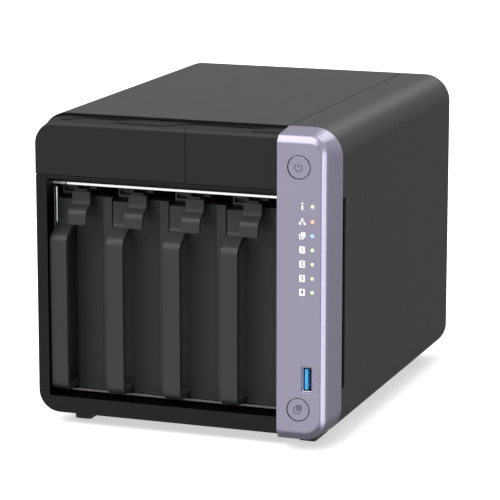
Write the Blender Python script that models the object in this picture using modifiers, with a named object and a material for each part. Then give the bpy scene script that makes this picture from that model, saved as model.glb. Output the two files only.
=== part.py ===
"""A four-bay desktop network storage unit, built from its separate parts.

Lengths are in millimetres and become metres in point(). X runs to the right, Z runs up, and
a depth y is measured from the front face of the control panel towards the back. The origin
is the middle of the footprint, on the surface that the feet stand on.
"""
from math import atan2, cos, pi, radians, sin, tan

import bmesh
import bpy
from mathutils import Matrix, Vector

MM = 0.001

# Whole unit
WIDTH = 170.0
HEIGHT = 170.0
DEPTH = 226.0
BODY_BOTTOM = 6.35
SIDE = WIDTH / 2
TOP_RADIUS = 15.25
BOTTOM_RADIUS = 14.5
GAP = 0.3

# Covers
COVER_FRONT = 20.0
COVER_BACK = 223.0
COVER_SHEET = 1.2
SEAM_X = 55.6
FLANGE_END = 70.0
SIDE_SLOT_DEPTH = 4.7
SIDE_SLOT_Z = (31.2, 133.3)

# Front bezel
BEZEL_FRONT = 10.7
BEZEL_RADIUS = 11.8
BEZEL_RIGHT = SEAM_X - GAP
OPENING_X = (-78.6, 52.4)
OPENING_Z = (15.4, 135.2)
OPENING_BACK_TOP = 131.6
SPLIT_Z = 137.2
FASCIA_SEAM_X = 0.9
FASCIA_FRONT_TOP = 164.6
FASCIA_BACK_TOP = 167.5
SKIRT_BACK = 32.0
SKIRT_WALL = 1.8

# Control panel
PANEL_WALL = 1.8
PANEL_EDGE_Y = 2.9
PANEL_EDGE_INSET = (2.0, 3.0, 0.5)  # top, right and bottom, where the chamfer starts
PANEL_FACE_INSET = (5.2, 5.1, 4.8)  # top, right and bottom, at the front face
PANEL_EDGE_RADII = (9.6, 12.0)  # top and bottom corners
PANEL_FACE_RADII = (5.8, 8.2)
PANEL_BACK = COVER_FRONT - GAP
BUTTON_X = 67.5
POWER_Z = 151.9
COPY_Z = 23.6
BUTTON_HOLE_R = 6.25
BUTTON_R = 6.0
BUTTON_TRAVEL = 0.8
LED_X = 74.85
LED_Z = (131.8, 123.8, 116.4, 109.0, 101.5, 94.0, 86.6)
USB_X = 72.25
USB_Z = 40.05
USB_SHELL = (5.9, 13.3)
USB_MOUTH = (5.1, 12.5)
USB_TONGUE = (1.9, 10.9)
IO_BOARD_FRONT = 12.5
BOARD = 1.6

# Drive cage and trays
CAGE_FRONT = 23.6
CAGE_BACK = 190.0
CAGE_SHEET = 1.1
CAGE_X = (-79.9, 53.6)
CAGE_Z = (15.9, 131.3)
BAYS = 4
BAY_PITCH = 32.6
FIRST_TRAY_X = -78.3
TRAY_WIDTH = 32.1
TRAY_Z = (17.4, 124.0)
TRAY_WALL_FRONT = 31.5
TRAY_BACK = 187.0
DRIVE_SIZE = (26.1, 147.0, 101.6)
DRIVE_FRONT = 36.0
DRIVE_BOTTOM = 20.0
HANDLE_WIDTH = 9.6
HANDLE_THICK = 3.0
BAR_FRONT = 12.9
LATCH_X = (10.4, 20.8)
LATCH_THICK = 2.2
LATCH_PIVOT = (34.0, 127.6)
HOUSING_Z = (125.9, 129.7)

# Fan, boards and rear ports
FAN_SIZE = 120.0
FAN_X = -13.3
FAN_Z = 78.0
FAN_Y = (196.0, 221.0)
FAN_BORE_R = 57.5
BLADES = 7
REAR_PANEL_Y = (221.4, 222.6)
MAIN_BOARD_X = 55.9
PORT_X = MAIN_BOARD_X + BOARD + GAP
LAN_SIZE = (13.6, 21.0, 16.0)
DUAL_USB_SIZE = (15.6, 17.0, 14.4)
VIDEO_SIZE = (5.9, 12.0, 15.0)
DC_SIZE = (11.0, 14.0, 9.0)
LAN_Z = (126.0, 105.0)
REAR_USB_Z = 84.0
VIDEO_Z = 64.0
RESET_Z = 46.0
DC_Z = 28.0
PORT_BACK = 223.4
LOCK_SLOT = ((-77.5, -70.5), (28.0, 31.0))

# Feet
FOOT_X = (60.05, 69.5)
FOOT_LENGTH = 22.0
FOOT_Y = (23.45, 191.5)


def clear_scene():
    for obj in list(bpy.data.objects):
        bpy.data.objects.remove(obj)


def new_collection(name):
    group = bpy.data.collections.new(name)
    bpy.context.scene.collection.children.link(group)
    return group


def new_material(name, color, roughness, metallic=0.0):
    material = bpy.data.materials.new(name)
    material.use_nodes = True
    shader = material.node_tree.nodes["Principled BSDF"]
    shader.inputs["Base Color"].default_value = (*color, 1.0)
    shader.inputs["Roughness"].default_value = roughness
    shader.inputs["Metallic"].default_value = metallic
    return material


clear_scene()
PARTS = new_collection("network_attached_storage")
CUTTERS = new_collection("cutters")

COVER_GREY = new_material("cover_grey", (0.075, 0.076, 0.078), 0.42)
BEZEL_BLACK = new_material("bezel_black", (0.022, 0.022, 0.023), 0.45)
FASCIA_BLACK = new_material("fascia_black", (0.032, 0.034, 0.033), 0.35)
TRAY_BLACK = new_material("tray_black", (0.035, 0.037, 0.037), 0.45)
HANDLE_GREY = new_material("handle_grey", (0.047, 0.050, 0.050), 0.40)
LILAC = new_material("lilac_paint", (0.32, 0.29, 0.39), 0.38, 0.25)
STEEL = new_material("bright_steel", (0.62, 0.62, 0.62), 0.30, 1.0)
DRIVE_METAL = new_material("drive_aluminium", (0.50, 0.51, 0.52), 0.38, 1.0)
BOARD_GREEN = new_material("board_green", (0.02, 0.10, 0.05), 0.50)
CONNECTOR_BLACK = new_material("connector_black", (0.015, 0.015, 0.016), 0.50)
RUBBER = new_material("foot_rubber", (0.030, 0.030, 0.030), 0.85)
CLEAR = new_material("light_guide_clear", (0.75, 0.85, 0.75), 0.20)
HEATSINK_METAL = new_material("heatsink_aluminium", (0.55, 0.56, 0.58), 0.35, 1.0)
FAN_BLACK = new_material("fan_black", (0.020, 0.020, 0.020), 0.50)


def point(x, y, z):
    """A place in millimetres, with y from the panel's face, as scene coordinates."""
    return Vector((x, y - DEPTH / 2, z)) * MM


def add_object(name, bm, material, smooth=None):
    """Link the mesh as a part, or as a cutter when it has no material."""
    bmesh.ops.recalc_face_normals(bm, faces=bm.faces)
    mesh = bpy.data.meshes.new(name)
    bm.to_mesh(mesh)
    bm.free()
    if smooth:
        mesh.shade_smooth()
        mesh.set_sharp_from_angle(angle=radians(smooth))
    obj = bpy.data.objects.new(name, mesh)
    if material:
        mesh.materials.append(material)
        PARTS.objects.link(obj)
    else:
        CUTTERS.objects.link(obj)
        obj.hide_render = True
        obj.display_type = "WIRE"
    return obj


def add_box(bm, x, y, z):
    """Add a box that spans three (low, high) pairs."""
    low = point(x[0], y[0], z[0])
    high = point(x[1], y[1], z[1])
    size = Matrix.Diagonal((*(high - low), 1.0))
    bmesh.ops.create_cube(bm, size=1.0, matrix=Matrix.Translation((low + high) / 2) @ size)


def add_rod(bm, centre, radius, length, axis="Y", segments=24, tip_radius=None):
    """Add a cylinder centred on a place, along X, Y or Z."""
    turn = {
        "X": Matrix.Rotation(pi / 2, 4, "Y"),
        "Y": Matrix.Rotation(-pi / 2, 4, "X"),
        "Z": Matrix.Identity(4),
    }
    bmesh.ops.create_cone(
        bm, cap_ends=True, segments=segments,
        radius1=radius * MM, radius2=(tip_radius or radius) * MM, depth=length * MM,
        matrix=Matrix.Translation(point(*centre)) @ turn[axis],
    )


def box(name, x, y, z, material=None):
    bm = bmesh.new()
    add_box(bm, x, y, z)
    return add_object(name, bm, material)


def boxes(name, spans, material=None):
    bm = bmesh.new()
    for x, y, z in spans:
        add_box(bm, x, y, z)
    return add_object(name, bm, material)


def rods(name, centres, radius, length, axis="Y", segments=24):
    """Separate cylinders in one cutter."""
    bm = bmesh.new()
    for centre in centres:
        add_rod(bm, centre, radius, length, axis, segments)
    return add_object(name, bm, None)


def combine(target, operand, operation):
    modifier = target.modifiers.new(operand.name, "BOOLEAN")
    modifier.operation = operation
    modifier.solver = "EXACT"
    modifier.object = operand
    return target


def cut(target, *operands):
    for operand in operands:
        combine(target, operand, "DIFFERENCE")
    return target


def join(target, *operands):
    for operand in operands:
        combine(target, operand, "UNION")
    return target


def soften(obj, width, segments=1):
    """Round the sharp edges of a part."""
    modifier = obj.modifiers.new("edges", "BEVEL")
    modifier.width = width * MM
    modifier.segments = segments
    modifier.limit_method = "ANGLE"
    modifier.angle_limit = radians(50)
    return obj


def set_origin(obj, place):
    """Put the object's origin at a place without moving its shape."""
    obj.data.transform(Matrix.Translation(-place))
    obj.location = place
    return obj


def rounded(corners, steps=5, closed=True):
    """Turn corner points (u, v, radius) into an outline with an arc at each corner."""
    outline = []
    last = len(corners) - 1
    for i, (u, v, radius) in enumerate(corners):
        here = Vector((u, v))
        if radius == 0 or (not closed and i in (0, last)):
            outline.append((u, v))
            continue
        before = (Vector(corners[i - 1][:2]) - here).normalized()
        after = (Vector(corners[(i + 1) % len(corners)][:2]) - here).normalized()
        half = before.angle(after) / 2
        centre = here + (before + after).normalized() * (radius / sin(half))
        start = here + before * (radius / tan(half)) - centre
        stop = here + after * (radius / tan(half)) - centre
        turn = atan2(start.cross(stop), start.dot(stop))
        for step in range(steps + 1):
            spot = centre + Matrix.Rotation(turn * step / steps, 2) @ start
            outline.append((spot.x, spot.y))
    return outline


def front_view(outline, y):
    """Places of an (x, z) outline at depth y."""
    return [point(x, y, z) for x, z in outline]


def side_view(outline, x):
    """Places of a (y, z) outline at x."""
    return [point(x, y, z) for y, z in outline]


def add_prism(bm, places, reach):
    """Extrude a flat closed outline by a vector in millimetres."""
    face = bm.faces.new([bm.verts.new(place) for place in places])
    grown = bmesh.ops.extrude_face_region(bm, geom=[face])["geom"]
    top = [item for item in grown if isinstance(item, bmesh.types.BMVert)]
    bmesh.ops.translate(bm, verts=top, vec=Vector(reach) * MM)


def prism(name, places, reach, material=None, smooth=None):
    bm = bmesh.new()
    add_prism(bm, places, reach)
    return add_object(name, bm, material, smooth)


def loft(name, rings, material=None, smooth=None):
    """Close the space between rings that have the same number of places."""
    bm = bmesh.new()
    loops = [[bm.verts.new(place) for place in ring] for ring in rings]
    count = len(loops[0])
    for near, far in zip(loops, loops[1:]):
        for i in range(count):
            j = (i + 1) % count
            bm.faces.new((near[i], near[j], far[j], far[i]))
    bm.faces.new(loops[0])
    bm.faces.new(loops[-1])
    return add_object(name, bm, material, smooth)


def ribbon(name, places, reach, thickness, material=None, smooth=None):
    """A strip of even thickness: an open path, swept by a vector and thickened inwards."""
    bm = bmesh.new()
    verts = [bm.verts.new(place) for place in places]
    edges = [bm.edges.new(pair) for pair in zip(verts, verts[1:])]
    grown = bmesh.ops.extrude_edge_only(bm, edges=edges)["geom"]
    far = [item for item in grown if isinstance(item, bmesh.types.BMVert)]
    bmesh.ops.translate(bm, verts=far, vec=Vector(reach) * MM)
    obj = add_object(name, bm, material, smooth)
    modifier = obj.modifiers.new("sheet", "SOLIDIFY")
    modifier.thickness = thickness * MM
    modifier.offset = -1
    modifier.use_even_offset = True
    return obj


def strip_outline(path, thickness, steps=3):
    """Outline of a bent strip: an open path of (u, v, radius), and the same path moved left."""
    inner = []
    last = len(path) - 1
    for i, (u, v, radius) in enumerate(path):
        here = Vector((u, v))
        before = (here - Vector(path[i - 1][:2])).normalized() if i else None
        after = (Vector(path[i + 1][:2]) - here).normalized() if i < last else None
        before, after = before or after, after or before
        sides = [Vector((-way.y, way.x)) for way in (before, after)]
        moved = here + (sides[0] + sides[1]) * (thickness / (1 + sides[0].dot(sides[1])))
        bend = thickness if before.cross(after) < 0 else -thickness
        inner.append((moved.x, moved.y, max(radius + bend, 0.2)))
    outer_side = rounded(path, steps, closed=False)
    return outer_side + rounded(inner, steps, closed=False)[::-1]


def cover_path(side):
    """The outer skin of one side, from the bottom flange to the top."""
    return [
        (side * FLANGE_END, BODY_BOTTOM, 0),
        (side * SIDE, BODY_BOTTOM, BOTTOM_RADIUS),
        (side * SIDE, HEIGHT, TOP_RADIUS),
    ]


def build_covers():
    run = (0, COVER_BACK - COVER_FRONT, 0)
    left = rounded(cover_path(-1) + [(SEAM_X - GAP / 2, HEIGHT, 0)], 8, closed=False)
    ribbon("left_cover", front_view(left, COVER_FRONT), run, COVER_SHEET, COVER_GREY, 30)
    right = rounded(cover_path(1) + [(SEAM_X + GAP / 2, HEIGHT, 0)], 8, closed=False)
    cover = ribbon("right_cover", front_view(right, COVER_FRONT), run, COVER_SHEET, COVER_GREY, 30)
    slot_y = (COVER_FRONT - 2, COVER_FRONT + SIDE_SLOT_DEPTH)
    cut(cover, box("side_slot_cutter", (SIDE - 4, SIDE + 4), slot_y, SIDE_SLOT_Z))


def build_base():
    """A flat plate with turned-up side flanges that stop behind the bezel's skirt."""
    edge, front, top = FLANGE_END - GAP, COVER_FRONT + GAP, 15.0
    path = [(-edge, top), (-edge, BODY_BOTTOM), (edge, BODY_BOTTOM), (edge, top)]
    run = (0, REAR_PANEL_Y[0] - 1.4 - front, 0)
    base = ribbon("base_plate", front_view(path, front), run, COVER_SHEET, STEEL)
    cut(base, box("base_flange_cutter", (-80, 80), (front - 5, SKIRT_BACK + 2),
                  (BODY_BOTTOM + COVER_SHEET, top + 5)))


def build_rear_panel():
    inset = COVER_SHEET + GAP
    low, high, side = BODY_BOTTOM + inset, HEIGHT - inset, SIDE - inset
    corners = [
        (-side, low, BOTTOM_RADIUS - inset), (side, low, BOTTOM_RADIUS - inset),
        (side, high, TOP_RADIUS - inset), (-side, high, TOP_RADIUS - inset),
    ]
    front, back = REAR_PANEL_Y
    panel = prism(
        "rear_panel", front_view(rounded(corners, 5), front), (0, back - front, 0), STEEL)
    cuts = bmesh.new()
    add_rod(cuts, (FAN_X, back, FAN_Z), FAN_BORE_R - 1, 8, segments=48)
    for (x, z) in rear_port_windows():
        add_box(cuts, x, (front - 3, back + 3), z)
    for row in range(3):
        for column in range(9):
            x = -60 + column * 11.0
            z = 146 + row * 6.0
            add_box(cuts, (x, x + 8), (front - 3, back + 3), (z, z + 3))
    add_rod(cuts, (PORT_X + 6, back, RESET_Z), 1.3, 8, segments=12)
    add_box(cuts, LOCK_SLOT[0], (front - 3, back + 3), LOCK_SLOT[1])
    cut(panel, add_object("rear_panel_cutter", cuts, None))


def rear_port_windows():
    """The (x, z) spans of the holes for the ports that stand on the main board."""
    ports = [(LAN_SIZE, z) for z in LAN_Z]
    ports += [(DUAL_USB_SIZE, REAR_USB_Z), (VIDEO_SIZE, VIDEO_Z), (DC_SIZE, DC_Z)]
    windows = []
    for size, z in ports:
        half = size[2] / 2 + GAP
        windows.append(((PORT_X - GAP, PORT_X + size[0] + GAP), (z - half, z + half)))
    return windows


def port_body(name, size, z, material):
    half = size[2] / 2
    x = (PORT_X, PORT_X + size[0])
    return box(name, x, (PORT_BACK - size[1], PORT_BACK), (z - half, z + half), material)


def build_rear_ports():
    mouth = (PORT_BACK - 14, PORT_BACK + 2)
    for number, z in enumerate(LAN_Z, 1):
        port = port_body(f"lan_socket_{number}", LAN_SIZE, z, STEEL)
        hollow = boxes(f"lan_cutter_{number}", [
            ((PORT_X + 1.2, PORT_X + 9.2), mouth, (z - 5.9, z + 5.9)),
        ])
        notch = box(
            f"lan_notch_{number}", (PORT_X + 8.0, PORT_X + 12.2), mouth, (z - 3.0, z + 3.0))
        cut(port, hollow, notch)
    usb = port_body("rear_usb_socket", DUAL_USB_SIZE, REAR_USB_Z, STEEL)
    for number, low in enumerate((1.6, 8.9)):
        x = (PORT_X + low, PORT_X + low + USB_MOUTH[0])
        half = USB_MOUTH[1] / 2
        z = (REAR_USB_Z - half, REAR_USB_Z + half)
        cut(usb, box(f"rear_usb_cutter_{number}", x, mouth, z))
        tongue = (x[0] + 1.0, x[0] + 1.0 + USB_TONGUE[0])
        span = (REAR_USB_Z - USB_TONGUE[1] / 2, REAR_USB_Z + USB_TONGUE[1] / 2)
        join(usb, box(f"rear_usb_tongue_{number}", tongue, (mouth[0] - 1, PORT_BACK - 1), span))
    video = port_body("video_socket", VIDEO_SIZE, VIDEO_Z, STEEL)
    video_mouth = (PORT_BACK - 9, PORT_BACK + 2)
    cut(video, box("video_cutter", (PORT_X + 0.6, PORT_X + 5.3), video_mouth,
                   (VIDEO_Z - 6.9, VIDEO_Z + 6.9)))
    join(video, box("video_tongue", (PORT_X + 2.4, PORT_X + 3.4), (PORT_BACK - 10, PORT_BACK - 1),
                    (VIDEO_Z - 5.6, VIDEO_Z + 5.6)))
    inlet = port_body("dc_inlet", DC_SIZE, DC_Z, CONNECTOR_BLACK)
    centre_x = PORT_X + DC_SIZE[0] / 2
    cut(inlet, rods("dc_bore", [(centre_x, PORT_BACK - 4, DC_Z)], 3.3, 12))
    join(inlet, rods("dc_pin", [(centre_x, PORT_BACK - 6, DC_Z)], 1.1, 9, segments=12))


def build_reset_button():
    x = PORT_X + 6
    bm = bmesh.new()
    add_rod(bm, (x, 220.0, RESET_Z), 1.0, 4.8, segments=12)
    stem = add_object("reset_button", bm, CONNECTOR_BLACK)
    join(stem, box("reset_button_plate", (x - 2.2, x + 2.2), (215.6, 218.2),
                   (RESET_Z - 2.2, RESET_Z + 2.2)))
    set_origin(stem, point(x, 220.0, RESET_Z))


def build_bezel():
    inset = COVER_SHEET + GAP
    side, low, high = SIDE - inset, BODY_BOTTOM + inset, HEIGHT - inset
    outer = [
        (-side, low, BOTTOM_RADIUS - inset), (side, low, BOTTOM_RADIUS - inset),
        (side, high, TOP_RADIUS - inset), (-side, high, TOP_RADIUS - inset),
    ]
    back = COVER_FRONT - GAP
    frame = prism("front_frame", front_view(rounded(outer, 5), back),
                  (0, SKIRT_BACK - back, 0), BEZEL_BLACK)
    wall = SKIRT_WALL
    inner = [
        (-side + wall, low + wall, 11.0), (side - wall, low + wall, 11.0),
        (side - wall, high - wall, 11.5), (-side + wall, high - wall, 11.5),
    ]
    hollow = prism("frame_hollow_cutter", front_view(rounded(inner, 5), back + 2.0),
                   (0, SKIRT_BACK, 0))
    front = [
        (-SIDE, BODY_BOTTOM, BEZEL_RADIUS), (BEZEL_RIGHT, BODY_BOTTOM, 0),
        (BEZEL_RIGHT, SPLIT_Z, 0), (-SIDE, SPLIT_Z, 0),
    ]
    face = prism("bezel_front", front_view(rounded(front, 8), BEZEL_FRONT),
                 (0, back - BEZEL_FRONT, 0))
    core = box("bezel_core", (-side + 2.5, BEZEL_RIGHT - 1), (BEZEL_FRONT + 3, back + 1.5),
               (low + 6, SPLIT_Z - 1))
    opening = box("bay_opening_cutter", OPENING_X, (0, back), OPENING_Z)
    passage = box("bay_passage_cutter", OPENING_X, (5, SKIRT_BACK + 20),
                  (OPENING_Z[0], OPENING_BACK_TOP))
    panel_window = box("panel_window_cutter", (61.0, 80.0), (back - 4, back + 6), (22.0, 154.0))
    cut(frame, hollow)
    join(frame, core, face)
    cut(frame, opening, passage, panel_window)


def fascia_ring(top, radius, y):
    corners = [
        (-SIDE, SPLIT_Z + GAP, 0), (BEZEL_RIGHT, SPLIT_Z + GAP, 0),
        (BEZEL_RIGHT, top, 0), (-SIDE, top, radius),
    ]
    return front_view(rounded(corners, 8), y)


def build_fascia():
    back = COVER_FRONT - 2 * GAP
    wall = 2.0
    far = SEAM_X + 20
    hollow_corners = [
        (-SIDE + wall, SPLIT_Z - 5, 0), (far, SPLIT_Z - 5, 0),
        (far, FASCIA_FRONT_TOP - wall, 0), (-SIDE + wall, FASCIA_FRONT_TOP - wall, 8.5),
    ]
    halves = (
        ("upper_fascia_left", (FASCIA_SEAM_X - GAP / 2, 200.0)),
        ("upper_fascia_right", (-200.0, FASCIA_SEAM_X + GAP / 2)),
    )
    for name, away in halves:
        fascia = loft(name, [
            fascia_ring(FASCIA_FRONT_TOP, 10.2, BEZEL_FRONT),
            fascia_ring(FASCIA_BACK_TOP, 12.75, back),
        ], FASCIA_BLACK)
        hollow = prism(f"{name}_hollow", front_view(rounded(hollow_corners, 6), BEZEL_FRONT + wall),
                       (0, 30, 0))
        rest = box(f"{name}_trim", away, (0, 40), (120, 190))
        cut(fascia, hollow, rest)


def blend(first, second, share):
    """The values that lie a share of the way from the first to the second."""
    return [a + (b - a) * share for a, b in zip(first, second)]


def panel_ring(insets, radii, y, left=SEAM_X, steps=8):
    """The panel's outline seen from the front, with its own inset on each side."""
    top, right, bottom = insets
    corners = [
        (left, BODY_BOTTOM + bottom, 0),
        (SIDE - right, BODY_BOTTOM + bottom, radii[1]),
        (SIDE - right, HEIGHT - top, radii[0]),
        (left, HEIGHT - top, 0),
    ]
    return front_view(rounded(corners, steps), y)


def chamfer_ring(share):
    """The outline a share of the way from the chamfer's outer edge to the front face."""
    insets = blend(PANEL_EDGE_INSET, PANEL_FACE_INSET, share)
    radii = blend(PANEL_EDGE_RADII, PANEL_FACE_RADII, share)
    return panel_ring(insets, radii, PANEL_EDGE_Y * (1 - share))


def build_control_panel():
    root_radii = (TOP_RADIUS, BOTTOM_RADIUS)
    near_edge = blend(PANEL_EDGE_INSET, (0, 0, 0), 0.04)
    face = [inset + 0.5 for inset in PANEL_FACE_INSET]
    panel = loft("control_panel", [
        panel_ring((0, 0, 0), root_radii, PANEL_BACK),
        panel_ring(near_edge, blend(PANEL_EDGE_RADII, root_radii, 0.04), PANEL_EDGE_Y + 0.7),
        chamfer_ring(0.22),
        chamfer_ring(0.86),
        panel_ring(face, PANEL_FACE_RADII, 0),
    ], LILAC, 20)
    wall = PANEL_WALL
    root = (wall - 0.9,) * 3
    edge = [inset + wall for inset in PANEL_EDGE_INSET]
    inner = [inset + 1.1 for inset in PANEL_FACE_INSET]
    hollow = loft("panel_hollow_cutter", [
        panel_ring(root, root_radii, PANEL_BACK + 5, SEAM_X + wall, 6),
        panel_ring(edge, (8.0, 10.4), PANEL_EDGE_Y + 1.5, SEAM_X + wall, 6),
        panel_ring(inner, PANEL_FACE_RADII, 2.0, SEAM_X + wall, 6),
    ])
    holes = bmesh.new()
    for z in (POWER_Z, COPY_Z):
        add_rod(holes, (BUTTON_X, 0, z), BUTTON_HOLE_R, 12, segments=32)
    for z in LED_Z:
        add_rod(holes, (LED_X, 0, z), 1.45, 12, segments=12)
    width, height = USB_SHELL[0] / 2 + GAP, USB_SHELL[1] / 2 + GAP
    add_box(holes, (USB_X - width, USB_X + width), (-5, 10), (USB_Z - height, USB_Z + height))
    cut(panel, hollow, add_object("panel_hole_cutter", holes, None))


def build_front_button(name, z):
    bm = bmesh.new()
    add_rod(bm, (BUTTON_X, 2.2, z), BUTTON_R, 4.2, segments=32)
    button = add_object(name, bm, LILAC)
    flange = rods(f"{name}_flange", [(BUTTON_X, 3.6, z)], 7.4, 2.0)
    stem = rods(f"{name}_stem", [(BUTTON_X, 7.4, z)], 2.5, 7.0, segments=12)
    join(button, flange, stem)
    return set_origin(button, point(BUTTON_X, 0.1, z))


def build_front_panel_parts():
    build_control_panel()
    build_front_button("power_button", POWER_Z)
    build_front_button("copy_button", COPY_Z)
    guide = box("light_guide", (LED_X - 2.0, LED_X + 2.0), (2.3, 5.6),
                (LED_Z[-1] - 3, LED_Z[0] + 3), CLEAR)
    join(guide, rods("light_guide_pips", [(LED_X, 1.6, z) for z in LED_Z], 1.15, 2.8, segments=12))
    board_y = (IO_BOARD_FRONT, IO_BOARD_FRONT + BOARD)
    box("front_io_board", (58.5, 80.0), board_y, (17.0, 157.0), BOARD_GREEN)
    half_x, half_z = USB_SHELL[0] / 2, USB_SHELL[1] / 2
    usb_y = (0.9, IO_BOARD_FRONT - GAP)
    socket = box("front_usb_socket", (USB_X - half_x, USB_X + half_x), usb_y,
                 (USB_Z - half_z, USB_Z + half_z), STEEL)
    cut(socket, box("front_usb_cutter", (USB_X - USB_MOUTH[0] / 2, USB_X + USB_MOUTH[0] / 2),
                    (-2, usb_y[1] - 1.2),
                    (USB_Z - USB_MOUTH[1] / 2, USB_Z + USB_MOUTH[1] / 2)))
    join(socket, box("front_usb_tongue", (USB_X - 0.4, USB_X - 0.4 + USB_TONGUE[0]),
                     (2.0, usb_y[1] - 0.6),
                     (USB_Z - USB_TONGUE[1] / 2, USB_Z + USB_TONGUE[1] / 2)))


def build_feet():
    names = {-1: "left", 1: "right"}
    for row, y in zip(("front", "rear"), FOOT_Y):
        for side, side_name in names.items():
            x = sorted((side * FOOT_X[0], side * FOOT_X[1]))
            foot = box(f"foot_{row}_{side_name}", x, (y, y + FOOT_LENGTH),
                       (0, BODY_BOTTOM - GAP), RUBBER)
            soften(foot, 0.8)


def build_cage():
    sheet = CAGE_SHEET
    cage = box("drive_cage", CAGE_X, (CAGE_FRONT, CAGE_BACK), CAGE_Z, STEEL)
    hollow = box("cage_hollow_cutter", (CAGE_X[0] + sheet, CAGE_X[1] - sheet),
                 (CAGE_FRONT - 5, CAGE_BACK + 5), (CAGE_Z[0] + sheet, CAGE_Z[1] - sheet))
    cut(cage, hollow)
    leg_y = (CAGE_FRONT + 16, CAGE_BACK - 10)
    leg_z = (BODY_BOTTOM + COVER_SHEET + GAP, CAGE_Z[0] + sheet / 2)
    for number, x in enumerate((-55.0, 30.0)):
        join(cage, box(f"cage_leg_{number}", (x, x + 1.2), leg_y, leg_z))
    windows = [
        ((FIRST_TRAY_X + i * BAY_PITCH + 13.0, FIRST_TRAY_X + i * BAY_PITCH + 18.2),
         (27.4, 31.4), (CAGE_Z[1] - 4, CAGE_Z[1] + 4))
        for i in range(BAYS)
    ]
    cut(cage, boxes("cage_catch_cutter", windows))


def face_outline(x):
    """The tray face seen from above: a shallow dish that ends in a raised margin."""
    left, margin, right = x + HANDLE_WIDTH + GAP, x + 26.2, x + TRAY_WIDTH
    dish = []
    for step in range(9):
        t = step / 8
        dish.append((left + (margin - left) * t, CAGE_FRONT + 0.5 + 2.6 * (1 - t * t)))
    back = TRAY_WALL_FRONT - GAP
    return dish + [(margin + 0.3, CAGE_FRONT), (right, CAGE_FRONT), (right, back), (left, back)]


def build_carrier(number, x):
    low, high = TRAY_Z
    carrier = box(f"tray_carrier_{number}", (x, x + TRAY_WIDTH), (TRAY_WALL_FRONT, TRAY_BACK),
                  TRAY_Z, TRAY_BLACK)
    beyond = x + TRAY_WIDTH + 5
    pocket = box(f"carrier_pocket_{number}", (x + 2.0, beyond), (TRAY_WALL_FRONT + 2.5, 200),
                 (low + 2.2, high - 2.0))
    windows = boxes(f"carrier_windows_{number}", [
        ((x - 5, x + 10), (y, y + 52), (36, 106)) for y in (52, 114)
    ])
    housing = box(f"latch_housing_{number}", (x + 3.1, x + 23.0), (CAGE_FRONT + 0.6, 38.0),
                  (HOUSING_Z[0] - 3.0, HOUSING_Z[1]))
    under = box(f"housing_gap_{number}", (x - 1, x + 26), (CAGE_FRONT - 2, TRAY_WALL_FRONT),
                (HOUSING_Z[0] - 6, HOUSING_Z[0] - 0.6))
    slot = box(f"latch_slot_{number}", (x + 12.2, x + 19.0), (CAGE_FRONT - 2, 36.4),
               (HOUSING_Z[0] - 1.3, HOUSING_Z[1] + 3))
    bore = rods(f"latch_bore_{number}", [(x + 15.6, *LATCH_PIVOT)], 1.1, 11.0, "X", 16)
    cut(carrier, pocket, windows)
    join(carrier, housing)
    cut(carrier, under, slot, bore)


def build_handle(number, x):
    front = CAGE_FRONT
    path = [
        (TRAY_WALL_FRONT - GAP, 122.6, 0), (front, 122.6, 1.0), (front, 109.4, 3.0),
        (BAR_FRONT, 102.9, 3.0), (BAR_FRONT, 17.9, 3.2), (TRAY_WALL_FRONT - GAP, 17.9, 0),
    ]
    outline = strip_outline(path, HANDLE_THICK)
    prism(f"tray_handle_{number}", side_view(outline, x), (HANDLE_WIDTH, 0, 0), HANDLE_GREY, 30)


def build_latch(number, x):
    low, high = LATCH_X
    path = [
        (20.0, 127.4, 0), (20.0, 121.0, 1.6), (13.7, 117.6, 2.4), (13.9, 110.2, 0),
    ]
    outline = strip_outline(path, LATCH_THICK)
    latch = prism(f"tray_latch_{number}", side_view(outline, x + low), (high - low, 0, 0),
                  HANDLE_GREY, 30)
    y, z = LATCH_PIVOT
    arm = box(f"latch_arm_{number}", (x + 12.6, x + 18.6), (21.0, y + 0.2), (z - 1.2, z + 0.9))
    hub = rods(f"latch_hub_{number}", [(x + 15.6, y, z)], 1.5, 6.0, "X", 12)
    pin = rods(f"latch_pin_{number}", [(x + 15.6, y, z)], 0.8, 9.4, "X", 12)
    tooth = box(f"latch_tooth_{number}", (x + 13.6, x + 17.6), (28.0, 30.4), (z, 129.9))
    join(latch, arm, hub, pin, tooth)
    set_origin(latch, point(x + 15.6, y, z))


def build_trays():
    for number in range(1, BAYS + 1):
        x = FIRST_TRAY_X + (number - 1) * BAY_PITCH
        build_carrier(number, x)
        prism(f"tray_face_{number}",
              [point(u, v, TRAY_Z[0] + 0.5) for u, v in face_outline(x)],
              (0, 0, 106.8), TRAY_BLACK, 20)
        build_handle(number, x)
        build_latch(number, x)
        build_drive(number, x)


def build_drive(number, x):
    width, length, height = DRIVE_SIZE
    left = x + 2.9
    drive = box(f"hard_drive_{number}", (left, left + width),
                (DRIVE_FRONT, DRIVE_FRONT + length),
                (DRIVE_BOTTOM, DRIVE_BOTTOM + height), DRIVE_METAL)
    soften(drive, 0.8)
    back = DRIVE_FRONT + length + 1.2
    centre = left + width - 6.5
    box(f"sata_connector_{number}", (centre - 3, centre + 3), (back, CAGE_BACK + 0.7),
        (32.0, 74.0), CONNECTOR_BLACK)


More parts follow.
